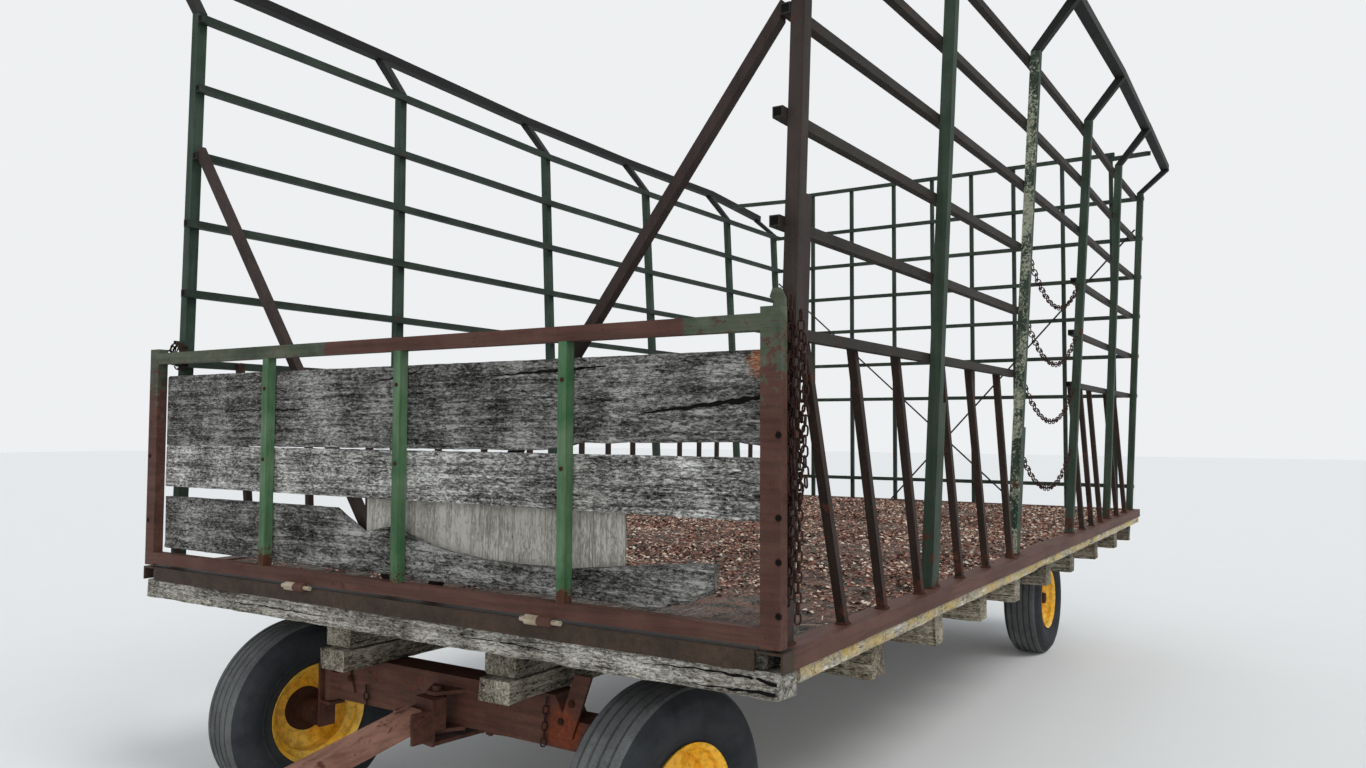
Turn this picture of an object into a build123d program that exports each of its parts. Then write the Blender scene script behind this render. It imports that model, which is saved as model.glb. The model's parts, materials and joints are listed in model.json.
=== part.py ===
from build123d import *
import math
import os

# Hay wagon. Sizes in mm. +X is forward, +Y is the wagon's left, +Z is up, and the ground is Z = 0.
# A setback is a distance back from the front edge of the deck.

# Driving dimensions
deck_length = 5486.0
deck_width = 2794.0
sill_top = 901.0
tongue_reach = 1832.41
deck_front = (deck_length - tongue_reach) / 2
deck_rear = deck_front - deck_length

# Timber deck
plank_thickness = 40.0
plank_count = 14
plank_gap = 4.0
side_board_width = 40.0
side_board_height = 88.0
edge_steel = 6.0
edge_leg_down = 50.0
edge_leg_in = 75.0
joist_height = 169.0
joist_width = 100.0
stringer_width = 132.0
stringer_height = 75.0
stringer_y = 375.0
stringer_setback = 85.0
front_beam_height = 75.0
front_beam_depth = 100.0
plank_top = sill_top - edge_steel
joist_top = plank_top - plank_thickness
stringer_top = joist_top - joist_height
stringer_bottom = stringer_top - stringer_height
side_board_inner = deck_width / 2 - edge_steel - side_board_width
joist_setbacks = [693.0, 1266.0, 1807.0, 2341.0, 2914.0, 3479.0, 4125.0, 4805.0, 5348.0]

# Side walls: square posts stand on the edge steel, rails run along their inner faces
post = 40.0
rail = 30.0
post_y = 1342.0
post_top = 2210.0
foot_gap = 1.3
# Each post: setback and outward lean in degrees
left_table = [(107.0, 1.9), (1205.0, 2.8), (2305.0, 3.3), (3458.0, 3.3), (4526.0, 2.7), (5397.0, 2.7)]
right_table = [(107.0, -1.3), (1205.0, 0.2), (2414.0, 2.6), (3514.0, 3.3), (4619.0, 2.9), (5397.0, 2.7)]
rail_heights = {"F": 794.0, "E": 1072.0, "D": 1351.0, "C": 1627.0, "B": 1899.0, "A": 2181.0}
rail_start = 62.0
rail_end = 5418.0
flare_out = 150.0
flare_base = 2410.0
flare_rail_width = 50.0
flare_rail_height = 45.0
flare_drop = 60.0

# Rear wall: a grid of thin bars behind the corner posts
rear_rail = 26.0
rear_bar = 26.0
rear_top = 2521.0
rear_low = 160.0
rear_bar_ys = [-1100.0, -750.0, -386.0, -70.0, 240.0, 559.0, 912.0, 1246.0]

# Front gate
gate_frame_depth = 38.0
gate_clear = 13.0
gate_top = 831.0
gate_half = 1390.0
gate_corner = 56.0
gate_rail = 43.0
gate_bar = 34.0
gate_bar_ys = [-655.0, 25.0, 703.0]
gate_board = 34.0
barrel_radius = 14.0
barrel_length = 48.0
barrel_bore = 7.05
hinge_pin = 7.0
hinge_ys = [-440.0, 640.0]

# Running gear
wheel_radius = 351.0
tyre_width = 228.0
rim_flange = 189.0
rim_half = 98.0
kingpin_y = 670.0
wheel_out = 189.0
front_axle_setback = 331.0
rear_axle_setback = 4675.0
steer_rest = math.radians(-8.0)
beam_depth = 110.0
beam_bottom = wheel_radius + 98.0
beam_top = stringer_bottom
beam_half = kingpin_y - 50.0
beam_end_top = wheel_radius + 190.0
beam_full_half = 460.0
reach_size = 76.0
reach_bottom = wheel_radius + 105.0
front_axle_x = deck_front - front_axle_setback
rear_axle_x = deck_front - rear_axle_setback
pivot_x = front_axle_x + 112.0
tie_arm = 207.0
tie_side = 24.0
tie_z = wheel_radius + 45.0
lever_z = wheel_radius + 56.0
lever_thickness = 12.0
hinge_ahead = 96.0
head_low = wheel_radius + 106.0
head_high = wheel_radius + 206.0
tongue_hinge_z = wheel_radius + 147.0
tongue_length = 1960.0
tongue_size = 76.0
clevis_bore = 16.0

os.makedirs("parts", exist_ok=True)


def finish(builder, label):
    """Label a piece and write its file."""
    builder.part.label = label
    export_step(builder.part, f"parts/{label}.step")


def block(x0, x1, y0, y1, z0, z1):
    """A rectangular block between two corners, in the part that is being built."""
    with BuildSketch(Plane.XY.offset(min(z0, z1))) as profile:
        with Locations(((x0 + x1) / 2, (y0 + y1) / 2)):
            Rectangle(abs(x1 - x0), abs(y1 - y0))
    extrude(profile.sketch, amount=abs(z1 - z0))


def plate(plane, thickness, *points, both=False):
    """A plate with a polygon outline in the given plane."""
    with BuildSketch(plane) as profile:
        with BuildLine():
            Polyline(*points, close=True)
        make_face()
    extrude(profile.sketch, amount=thickness, both=both)


def straight_bar(start, end, width, depth, facing):
    """A rectangular bar from start to end; width runs along the facing direction."""
    start, end = Vector(*start), Vector(*end)
    along = (end - start).normalized()
    across = Vector(*facing)
    across = (across - along * across.dot(along)).normalized()
    with BuildSketch(Plane(origin=start, x_dir=across, z_dir=along)) as profile:
        Rectangle(width, depth)
    extrude(profile.sketch, amount=(end - start).length)


def round_bar(start, end, radius):
    """A round bar from start to end."""
    start, end = Vector(*start), Vector(*end)
    along = end - start
    with BuildSketch(Plane(origin=start, z_dir=along.normalized())) as profile:
        Circle(radius)
    extrude(profile.sketch, amount=along.length)


def lean_at(side, setback):
    """Lean of a side wall at a setback, between the two posts beside it."""
    table = left_table if side > 0 else right_table
    near, far = table[0], table[0]
    for row in table:
        near, far = (far, row) if setback > far[0] else (near, far)
    if far[0] == near[0] or setback >= far[0]:
        return math.radians(far[1])
    return math.radians(near[1] + (far[1] - near[1]) * (setback - near[0]) / (far[0] - near[0]))


def wall_point(side, setback, height, outward=0.0):
    """A point of a side wall at a height above the edge steel; outward is off its centre plane."""
    lean = lean_at(side, setback)
    return (deck_front - setback, side * (post_y + height * math.tan(lean) + outward / math.cos(lean)),
            sill_top + height)


def wall_section(side, setback, thickness, points):
    """A plate across a side wall, drawn by (outward, height) points and centred on a setback."""
    corners = [wall_point(side, setback, height, outward)[1:] for outward, height in points]
    plate(Plane(origin=(deck_front - setback, 0, 0), x_dir=(0, 1, 0), z_dir=(1, 0, 0)), thickness / 2, *corners,
          both=True)


def wall_rail(side, near, far, height, inner, outer, depth):
    """A level rail along a side wall, bent at each post; inner and outer are its faces off the centre plane."""
    table = left_table if side > 0 else right_table
    stations = [near] + [row[0] for row in table if near < row[0] < far] + [far]

    def edge(setback, outward):
        level = height - math.copysign(depth / 2, lean_at(side, setback))
        return wall_point(side, setback, level, outward)[:2]

    run = [edge(setback, outer) for setback in stations]
    back = [edge(setback, inner) for setback in reversed(stations)]
    plate(Plane.XY.offset(sill_top + height - depth / 2), depth, *run, *back)


# Deck planks, lengthwise
plank_pitch = (2 * side_board_inner + plank_gap) / plank_count
with BuildPart() as deck_planks:
    for i in range(plank_count):
        y = -side_board_inner + i * plank_pitch
        block(deck_rear + edge_steel, deck_front - edge_steel, y, y + plank_pitch - plank_gap,
              joist_top, plank_top)
finish(deck_planks, "deck_planks")

# Edge timbers: the front beam and a board on edge along each side
front_beam_rear = deck_front - edge_steel - front_beam_depth
board_outer = side_board_inner + side_board_width
with BuildPart() as edge_timbers:
    block(front_beam_rear, deck_front - edge_steel, -board_outer, board_outer,
          joist_top - front_beam_height, joist_top)
    for side in (-1, 1):
        block(deck_rear + edge_steel, front_beam_rear - 1.0, side * side_board_inner, side * board_outer,
              plank_top - side_board_height, plank_top)
finish(edge_timbers, "edge_timbers")

# Cross joists, and a block over each stringer behind the front beam
with BuildPart() as cross_timbers:
    for setback in joist_setbacks:
        block(deck_front - setback - joist_width, deck_front - setback, -side_board_inner, side_board_inner,
              stringer_top, joist_top)
    for side in (-1, 1):
        y = side * stringer_y
        block(deck_front - 330.0, front_beam_rear - 4.0, y - stringer_width / 2, y + stringer_width / 2,
              stringer_top, joist_top)
finish(cross_timbers, "cross_timbers")

# Stringers, lengthwise on the axles
with BuildPart() as stringers:
    for side in (-1, 1):
        y = side * stringer_y
        block(deck_rear + 60.0, deck_front - stringer_setback, y - stringer_width / 2, y + stringer_width / 2,
              stringer_bottom, stringer_top)
finish(stringers, "stringers")

# Edge steel: angle irons that cap the deck's edges
with BuildPart() as edge_angles:
    deck_half = deck_width / 2
    for side in (-1, 1):
        section = Plane(origin=(deck_rear, 0, sill_top), x_dir=(0, side, 0), z_dir=(side, 0, 0))
        plate(section, side * deck_length, (deck_half - edge_leg_in, 0), (deck_half, 0), (deck_half, -edge_leg_down),
              (deck_half - edge_steel, -edge_leg_down), (deck_half - edge_steel, -edge_steel),
              (deck_half - edge_leg_in, -edge_steel))
    inner = deck_half - edge_leg_in - 4.0
    for x, way in ((deck_front, 1), (deck_rear, -1)):
        block(x - way * edge_leg_in, x, -inner, inner, sill_top - edge_steel, sill_top)
        block(x - way * edge_steel, x, -inner, inner, sill_top - edge_leg_down, sill_top)
finish(edge_angles, "edge_angles")

# Side posts: square posts on the edge steel, three of the left ones doubled by a short tube behind
walls = [(1, left_table, "left"), (-1, right_table, "right")]
doublers = [(107.0, 680.0, 1150.0), (1205.0, foot_gap, 640.0), (2305.0, foot_gap, 560.0)]
for side, table, name in walls:
    with BuildPart() as posts:
        for setback, _ in table:
            straight_bar(wall_point(side, setback, foot_gap), wall_point(side, setback, post_top), post, post,
                         (1, 0, 0))
        if side > 0:
            for setback, low, high in doublers:
                start = Vector(*wall_point(1, setback, low)) - Vector(post, 0, 0)
                end = Vector(*wall_point(1, setback, high)) - Vector(post, 0, 0)
                straight_bar(tuple(start), tuple(end), post - 6.0, post - 4.0, (1, 0, 0))
    finish(posts, f"{name}_posts")

# Flare arms: each leans out from the top of its post to carry the flare rail
with BuildPart() as flare_arms:
    for side, table, _ in walls:
        for setback, _ in table:
            tip = flare_base - 0.8 - (flare_drop + 1.0 if setback == table[-1][0] else 0.0)
            wall_section(side, setback, post, [(-post / 2, post_top + 1.5), (post / 2, post_top + 1.5),
                                               (flare_out + 24.0, tip), (flare_out - 24.0, tip)])
finish(flare_arms, "flare_arms")

# Flare rails along the tips, dropping to the last post
with BuildPart() as flare_rails:
    for side, table, _ in walls:
        first, bend, last = table[0][0] - 40.0, table[-2][0] + 30.0, table[-1][0] + 25.0
        middle = flare_base + flare_rail_height / 2
        wall_rail(side, first, bend, middle, flare_out - flare_rail_width / 2, flare_out + flare_rail_width / 2,
                  flare_rail_height)
        corner = Vector(*wall_point(side, bend, middle, flare_out))
        end = Vector(*wall_point(side, last, middle - flare_drop, flare_out))
        back = (corner - end).normalized() * 14.0
        straight_bar(tuple(end), tuple(corner + back), flare_rail_height, flare_rail_width - 1.0, (0, 0, 1))
finish(flare_rails, "flare_rails")

# Side rails on the inner faces of the posts; on the left the lower three stop at the doorway
door_front = left_table[2][0] + post / 2
door_back = left_table[3][0] - post / 2
for side, table, name in walls:
    with BuildPart() as rails:
        for letter, height in rail_heights.items():
            start = rail_start if letter in "DE" else table[0][0] - post / 2
            spans = [(start, rail_end)]
            if side > 0 and letter in "DEF":
                spans = [(start, door_front), (door_back, rail_end)]
            for near, far in spans:
                wall_rail(side, near, far, height, -post / 2 - rail, -post / 2 - 1.3, rail)
    finish(rails, f"{name}_rails")

# Pickets: slanted bars from the edge steel up to the inner face of the lowest rail
picket = 26.0
picket_foot_out = 18.0
picket_top_in = -(post / 2 + rail + picket / 2 + 5.0)
picket_top = rail_heights["F"] + 12.0
# Each picket: setback of its foot and how far its top leans forward
front_pickets = [(440.0, 140.0), (735.0, 105.0), (1065.0, 85.0), (1500.0, 70.0), (1840.0, 75.0), (2200.0, 45.0)]
left_pickets = front_pickets + [(setback, 60.0) for setback in (3700.0, 3960.0, 4230.0, 4780.0, 5080.0)]
right_pickets = front_pickets + [(setback, 60.0) for setback in (2690.0, 2960.0, 3230.0, 3800.0, 4060.0, 4310.0,
                                                                 4830.0, 5110.0)]
with BuildPart() as pickets:
    for side, table in ((1, left_pickets), (-1, right_pickets)):
        for setback, lean_forward in table:
            foot = wall_point(side, setback, 3.0, picket_foot_out)
            top = wall_point(side, setback - lean_forward, picket_top, picket_top_in)
            straight_bar(foot, top, picket, picket, (1, 0, 0))
finish(pickets, "pickets")

# Rear wall: thin upright bars and cross rails behind the corner posts
rear_rail_x = deck_front - rail_end - rear_rail / 2
rear_bar_x = rear_rail_x - (rear_rail + rear_bar) / 2
rear_heights = [rear_low] + [rail_heights[letter] for letter in "FEDCBA"]
with BuildPart() as rear_rails:
    for height in rear_heights:
        end = wall_point(1, 5400.0, height, post / 2)[1]
        block(rear_rail_x - rear_rail / 2, rear_rail_x + rear_rail / 2, -end, end,
              sill_top + height - rear_rail / 2, sill_top + height + rear_rail / 2)
    block(rear_rail_x - rear_rail / 2, rear_rail_x + rear_rail / 2,
          rear_bar_ys[0] - 30.0, rear_bar_ys[-1] + 30.0,
          sill_top + rear_top - rear_rail / 2, sill_top + rear_top + rear_rail / 2)
finish(rear_rails, "rear_rails")
with BuildPart() as rear_bars:
    for y in rear_bar_ys:
        block(rear_bar_x - rear_bar / 2, rear_bar_x + rear_bar / 2, y - rear_bar / 2, y + rear_bar / 2,
              sill_top, sill_top + rear_top + 13.0)
finish(rear_bars, "rear_bars")

# Corner rails: from the flare rails to the top of the rear wall
corner_rail = 28.0
with BuildPart() as corner_rails:
    for side, setback in ((1, 4960.0), (-1, 4900.0)):
        start = wall_point(side, setback, flare_base - 34.0, flare_out - 42.0)
        end_y = rear_bar_ys[-1] if side > 0 else rear_bar_ys[0]
        end = (rear_rail_x + rear_rail / 2 + 16.0, end_y, sill_top + rear_top - 40.0)
        straight_bar(start, end, corner_rail, corner_rail, (0, 0, 1))
finish(corner_rails, "corner_rails")

# Braces: a V from the tall front posts down to the middle of the deck
rod_radius = 6.0
brace = 32.0
brace_inside = post / 2 + rail + 1.3
# Each brace: side, setback of its post, height of its top and distance of its foot from the middle
brace_table = [(1, left_table[0][0], 1630.0, 68.0), (-1, right_table[0][0], 1636.0, 80.0)]
with BuildPart() as braces:
    for side, setback, brace_top, brace_foot in brace_table:
        top_y = abs(wall_point(side, 0.0, brace_top, -brace_inside)[1])
        angle = math.atan2(brace_top, top_y - brace_foot)
        up = brace / 2 / math.cos(angle)
        across = brace / 2 / math.sin(angle)
        origin = (deck_front - setback, 0.0, sill_top)
        plate(Plane(origin=origin, x_dir=(0, side, 0), z_dir=(side, 0, 0)), brace / 2,
              (brace_foot - across, 0), (brace_foot + across, 0), (top_y - 2.0, brace_top - up),
              (top_y, brace_top + up), both=True)
    # Two thin rods in an X over the inside of the rear wall
    inside = deck_front - rail_end
    for x, side, height, foot_y in ((inside + 7.0, -1, 1790.0, 561.0), (inside + 21.0, 1, 1960.0, -396.0)):
        end_y = wall_point(side, rail_end, height, -post / 2 - 8.0)[1]
        round_bar((x, end_y, sill_top + height), (x, foot_y, sill_top + 6.0), rod_radius)
finish(braces, "braces")

# Chain links: elongated rings, each turned a quarter turn from the last
link_length = 54.0
link_width = 28.0
link_wire = 7.0
link_pitch = 38.0
with BuildPart(mode=Mode.PRIVATE) as link:
    with BuildSketch():
        Rectangle(link_length, link_width)
        Rectangle(link_length - 2 * link_wire, link_width - 2 * link_wire, mode=Mode.SUBTRACT)
    extrude(amount=link_wire / 2, both=True)


def chain(points, turn=0):
    """Links along a line of points, one link centred on each span."""
    places = []
    for i in range(len(points) - 1):
        start, end = Vector(*points[i]), Vector(*points[i + 1])
        along = (end - start).normalized()
        level = Vector(0, 1, 0) if abs(along.Y) < 0.7 else Vector(1, 0, 0)
        flat = (level - along * level.dot(along)).normalized()
        normal = along.cross(flat) if (i + turn) % 2 else flat
        places.append(Location(Plane(origin=(start + end) * 0.5, x_dir=along, z_dir=normal)))
    with Locations(*places):
        add(link.part)


def sag_points(start, end, sag):
    """Points a link's pitch apart along a chain that hangs between two points."""
    fine = 2000
    places = []
    for i in range(fine + 1):
        s = i / fine
        drop = 4 * sag * s * (1 - s)
        place = [start[k] + (end[k] - start[k]) * s for k in range(3)]
        places.append(Vector(place[0], place[1], place[2] - drop))
    points, walked = [places[0]], 0.0
    for last, place in zip(places, places[1:]):
        walked += (place - last).length
        if walked >= link_pitch:
            points.append(place)
            walked = 0.0
    return points


# Front gate: an angle frame with upright bars in front of weathered boards; it folds down and forward
gate_face = deck_front
gate_rear = gate_face - gate_frame_depth
gate_low = sill_top + gate_clear
gate_high = sill_top + gate_top
hinge_x = gate_face + barrel_radius + 0.5
hinge_z = sill_top + 4.0


def barrel(y0, y1, lug_low, lug_high):
    """A hinge barrel with a lug back to the face behind it."""
    block(gate_face, hinge_x, y0, y1, lug_low, lug_high)
    round_bar((hinge_x, y0, hinge_z), (hinge_x, y1, hinge_z), barrel_radius)
    with BuildSketch(Plane(origin=(hinge_x, y0 - 1.0, hinge_z), z_dir=(0, 1, 0))) as bore:
        Circle(barrel_bore)
    extrude(bore.sketch, amount=y1 - y0 + 2.0, mode=Mode.SUBTRACT)


with BuildPart() as gate_frame:
    for z in (gate_low, gate_high - gate_rail):
        block(gate_rear, gate_face, -gate_half, gate_half, z, z + gate_rail)
    for side in (-1, 1):
        block(gate_rear, gate_face, side * (gate_half - gate_corner), side * gate_half, gate_low - 6.0,
              gate_high + 16.0)
    for y in hinge_ys:
        barrel(y + 1.0, y + barrel_length, hinge_z + 9.5, hinge_z + barrel_radius)
    # Hook on top of the left corner
    hook_y = gate_half - gate_corner / 2
    plate(Plane(origin=(gate_rear - 8.0, hook_y, gate_high), x_dir=(0, 1, 0), z_dir=(1, 0, 0)), 8.0,
          (-22, -40), (22, -40), (22, 40), (8, 66), (-14, 66), (-22, 44), (-6, 30), (-22, 12))
finish(gate_frame, "gate_frame")
with BuildPart() as gate_bars:
    for y in gate_bar_ys:
        foot = (gate_face - gate_bar / 2, y, gate_low + gate_rail)
        top = (gate_face - gate_bar / 2, y, gate_high - gate_rail)
        straight_bar(foot, top, gate_bar, gate_bar - 4.0, (1, 0, 0))
finish(gate_bars, "gate_bars")

# Gate boards: top, middle and a broken bottom one, with a short patch board behind it
board_x = gate_rear - gate_board
board_half = 1334.0
with BuildPart() as gate_boards:
    block(board_x, gate_rear, -board_half, board_half, sill_top + 493.0, sill_top + 745.0)
    block(board_x, gate_rear, -board_half, board_half, sill_top + 310.0, sill_top + 472.0)
    plate(Plane(origin=(board_x, 0, sill_top), x_dir=(0, 1, 0), z_dir=(1, 0, 0)), gate_board,
          (-board_half, 70), (1000, 62), (1090, 80), (1175, 120), (1180, 200), (1130, 193), (985, 182),
          (890, 170), (695, 148), (500, 146), (350, 150), (180, 172), (-60, 225), (-180, 200), (-330, 275),
          (-board_half, 275))
    block(board_x - 13.0, board_x - 1.0, -200.0, 876.0, sill_top + 75.0, sill_top + 340.0)
finish(gate_boards, "gate_boards")

# Deck hinges: the barrels on the deck's edge and the pins through them
with BuildPart() as deck_hinges:
    for y in hinge_ys:
        barrel(y - barrel_length, y - 1.0, hinge_z - barrel_radius, hinge_z - 9.0)
        round_bar((hinge_x, y - barrel_length - 20.0, hinge_z), (hinge_x, y + barrel_length + 30.0, hinge_z),
                  hinge_pin)
finish(deck_hinges, "deck_hinges")

# Chains: four across the doorway in the left wall, and two that hang in the left front corner
door_chain_sag = 180.0
door_chain_heights = [rail_heights["D"] - 25.0, rail_heights["E"] - 25.0, rail_heights["F"] - 25.0, 445.0]
corner_chain_x = deck_front - left_table[0][0] + post / 2 + 22.0
with BuildPart() as chains:
    for height in door_chain_heights:
        clear = 18.0 + (post if height < 560.0 else 0.0)
        chain(sag_points(wall_point(1, door_front + clear, height, -4.0),
                         wall_point(1, door_back - 18.0, height, -4.0), door_chain_sag))
    for y, high, low in ((post_y + 12.0, 800.0, 60.0), (post_y + 42.0, 880.0, 330.0)):
        levels = [sill_top + high - i * link_pitch for i in range(int((high - low) / link_pitch) + 1)]
        chain([(corner_chain_x, y, level) for level in levels])
finish(chains, "chains")

# Front axle: a box beam with lower ends and an upright kingpin sleeve at each end
sleeve_radius = 30.0
kingpin = 13.0
kingpin_bore = 13.05
sleeve_low = wheel_radius + 72.0
sleeve_high = wheel_radius + 190.0


def axle_beam(x):
    """The box beam of one axle, with its lower ends."""
    outline = [(-beam_half, beam_bottom), (beam_half, beam_bottom), (beam_half, beam_end_top),
               (beam_full_half + 40.0, beam_end_top), (beam_full_half, beam_top), (-beam_full_half, beam_top),
               (-beam_full_half - 40.0, beam_end_top), (-beam_half, beam_end_top)]
    plate(Plane(origin=(x, 0, 0), x_dir=(0, 1, 0), z_dir=(1, 0, 0)), beam_depth / 2, *outline, both=True)


with BuildPart() as front_axle:
    axle_beam(front_axle_x)
    for side in (-1, 1):
        round_bar((front_axle_x, side * kingpin_y, sleeve_low), (front_axle_x, side * kingpin_y, sleeve_high),
                  sleeve_radius)
        block(front_axle_x - 26.0, front_axle_x + 26.0, side * (beam_half - 5.0), side * (kingpin_y - 12.0),
              sleeve_low + 8.0, sleeve_high - 4.0)
        with BuildSketch(Plane(origin=(front_axle_x, side * kingpin_y, sleeve_low - 10.0))):
            Circle(kingpin_bore)
        extrude(amount=sleeve_high - sleeve_low + 20.0, mode=Mode.SUBTRACT)
finish(front_axle, "front_axle")

# Pivot bracket: two flat tabs on the front of the beam, with the steering pin through them
bracket_front = pivot_x + 29.0
with BuildPart() as pivot_bracket:
    for z in (head_low - 17.0, head_high + 5.0):
        plate(Plane.XY.offset(z), 12.0, (front_axle_x + beam_depth / 2, -75), (bracket_front, -20),
              (bracket_front, 20), (front_axle_x + beam_depth / 2, 75))
    round_bar((pivot_x, 0, head_low - 25.0), (pivot_x, 0, head_high + 31.0), 16.0)
finish(pivot_bracket, "pivot_bracket")

# Steering head: a tube on the pin, cheeks ahead for the tongue and a lever back under the beam
def turned(origin, x, y, z, side=1):
    """A point given ahead, outward and up from a pivot, turned to the parked steering angle."""
    c, s = math.cos(steer_rest), math.sin(steer_rest)
    return (origin[0] + x * c - side * y * s, origin[1] + x * s + side * y * c, z)


def turned_block(origin, x0, x1, y0, y1, z0, z1, side=1):
    """A block given ahead, outward and up from a pivot, turned to the parked steering angle."""
    corners = [turned(origin, x, y, 0.0, side)[:2] for x, y in ((x0, y0), (x1, y0), (x1, y1), (x0, y1))]
    plate(Plane.XY.offset(z0), z1 - z0, *corners)


head_origin = (pivot_x, 0.0)
cheek_in = tongue_size / 2 + 3.0
cheek_out = cheek_in + 10.0
with BuildPart() as steer_head:
    round_bar((pivot_x, 0, head_low), (pivot_x, 0, head_high), 30.0)
    turned_block(head_origin, 0.0, 53.0, -cheek_out, cheek_out, head_low, head_high)
    turned_block(head_origin, 43.0, 53.0, -cheek_out, cheek_out, lever_z, head_high)
    turned_block(head_origin, -225.0, 53.0, -46.0, 46.0, lever_z, lever_z + lever_thickness)
    for side in (-1, 1):
        turned_block(head_origin, 50.0, 130.0, cheek_in, cheek_out, lever_z + 20.0, tongue_hinge_z + 28.0, side)
        pin = turned(head_origin, -tie_arm, side * tie_side, tie_z - 14.0)
        round_bar(pin, (pin[0], pin[1], lever_z + 1.0), 8.0)
    with BuildSketch(Plane(origin=(pivot_x, 0, head_low - 10.0))):
        Circle(16.05)
    extrude(amount=head_high - head_low + 20.0, mode=Mode.SUBTRACT)
    left = turned(head_origin, hinge_ahead, -cheek_out - 8.0, tongue_hinge_z)
    right = turned(head_origin, hinge_ahead, cheek_out + 8.0, tongue_hinge_z)
    round_bar(left, right, 14.0)
finish(steer_head, "steer_head")

# Knuckles: a fork over the kingpin sleeve, the wheel's spindle outward and a steering arm to the rear
spindle = 20.0
ear = 12.0
for side, name in ((1, "left"), (-1, "right")):
    origin = (front_axle_x, side * kingpin_y)
    with BuildPart() as knuckle:
        for low, high in ((lever_z, lever_z + ear), (sleeve_high + 4.0, sleeve_high + 4.0 + ear)):
            turned_block(origin, -32.0, 32.0, -30.0, 52.0, low, high, side)
        turned_block(origin, -32.0, 32.0, 38.0, 52.0, wheel_radius - 36.0, sleeve_high + 4.0 + ear, side)
        turned_block(origin, -tie_arm - 20.0, -20.0, -4.0, 44.0, lever_z, lever_z + ear, side)
        round_bar((*origin, lever_z - 6.0), (*origin, sleeve_high + 26.0), kingpin)
        round_bar(turned(origin, 0.0, 50.0, wheel_radius, side), turned(origin, 0.0, 240.0, wheel_radius, side),
                  spindle)
        pin = turned(origin, -tie_arm, tie_side, tie_z - 14.0, side)
        round_bar(pin, (pin[0], pin[1], lever_z + 1.0), 8.0)
    finish(knuckle, f"knuckle_{name}")

# Tie rods: from the steering lever to each knuckle's arm
eye_outer = 17.0
for side, name in ((1, "left"), (-1, "right")):
    inner_eye = Vector(*turned(head_origin, -tie_arm, side * tie_side, tie_z))
    outer_eye = Vector(*turned((front_axle_x, side * kingpin_y), -tie_arm, tie_side, tie_z, side))
    with BuildPart() as tie_rod:
        along = (outer_eye - inner_eye).normalized()
        round_bar(tuple(inner_eye + along * 12.0), tuple(outer_eye - along * 12.0), 9.0)
        for eye in (inner_eye, outer_eye):
            round_bar((eye.X, eye.Y, tie_z - 8.0), (eye.X, eye.Y, tie_z + 8.0), eye_outer)
        for eye in (inner_eye, outer_eye):
            with BuildSketch(Plane(origin=(eye.X, eye.Y, tie_z - 10.0))):
                Circle(8.1 if eye is inner_eye else 8.6)
            extrude(amount=20.0, mode=Mode.SUBTRACT)
    finish(tie_rod, f"tie_rod_{name}")

# Tongue: a channel bar on the hinge pin, with a clevis that rests on the ground
clevis_tip = 52.0
ear_gap = 62.0
ear_plate = 14.0
clevis_low = ear_gap / 2 + ear_plate
tip_reach = tongue_length + clevis_tip
tongue_pitch = math.asin(tongue_hinge_z / math.hypot(tip_reach, clevis_low)) - math.atan2(clevis_low, tip_reach)
hinge_point = Vector(*turned(head_origin, hinge_ahead, 0.0, tongue_hinge_z))
heading = (math.cos(steer_rest), math.sin(steer_rest))
tongue_ahead = Vector(heading[0] * math.cos(tongue_pitch), heading[1] * math.cos(tongue_pitch),
                      -math.sin(tongue_pitch))
tongue_side = Vector(-heading[1], heading[0], 0)
tongue_up = tongue_ahead.cross(tongue_side)
tongue_plane = Plane(origin=hinge_point, x_dir=tongue_ahead, z_dir=tongue_up)


def tongue_block(x0, x1, y0, y1, z0, z1):
    """A block in the tongue's own frame: along it from the hinge, across it and up."""
    with BuildSketch(tongue_plane.offset(z0)) as profile:
        with Locations(((x0 + x1) / 2, (y0 + y1) / 2)):
            Rectangle(x1 - x0, y1 - y0)
    extrude(profile.sketch, amount=z1 - z0)


def tongue_bore(x, z0, z1, radius):
    """A bore up through the tongue at a distance from the hinge."""
    with BuildSketch(tongue_plane.offset(z0)) as bore:
        with Locations((x, 0)):
            Circle(radius)
    extrude(bore.sketch, amount=z1 - z0, mode=Mode.SUBTRACT)


tongue_half = tongue_size / 2
with BuildPart() as tongue:
    plate(Plane(origin=hinge_point, x_dir=tongue_ahead, z_dir=-tongue_side), tongue_half,
          (-26, -14), (-12, -34), (tongue_length - 60.0, -34), (tongue_length - 60.0, 34), (-12, 34),
          (-26, 14), both=True)
    for low in (ear_gap / 2, -clevis_low):
        tongue_block(tongue_length - 140.0, tongue_length + clevis_tip, -tongue_half, tongue_half, low,
                     low + ear_plate)
    with BuildSketch(Plane(origin=hinge_point, x_dir=tongue_ahead, z_dir=-tongue_side)) as hinge_bore:
        Circle(14.05)
    extrude(hinge_bore.sketch, amount=tongue_half + 5.0, both=True, mode=Mode.SUBTRACT)
    tongue_bore(tongue_length, -clevis_low - 5.0, clevis_low + 5.0, clevis_bore)
finish(tongue, "tongue")

# Bolster stakes: flat bars on the faces of both beams, beside the stringers
stake_low = wheel_radius + 135.0
with BuildPart() as bolster_stakes:
    for x in (front_axle_x + beam_depth / 2, rear_axle_x + beam_depth / 2):
        for side in (-1, 1):
            plate(Plane(origin=(x, 0, 0), x_dir=(0, side, 0), z_dir=(side, 0, 0)), side * 10.0,
                  (470, stake_low), (535, stake_low), (610, stake_low + 200.0), (545, stake_low + 200.0))
finish(bolster_stakes, "bolster_stakes")

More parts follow.
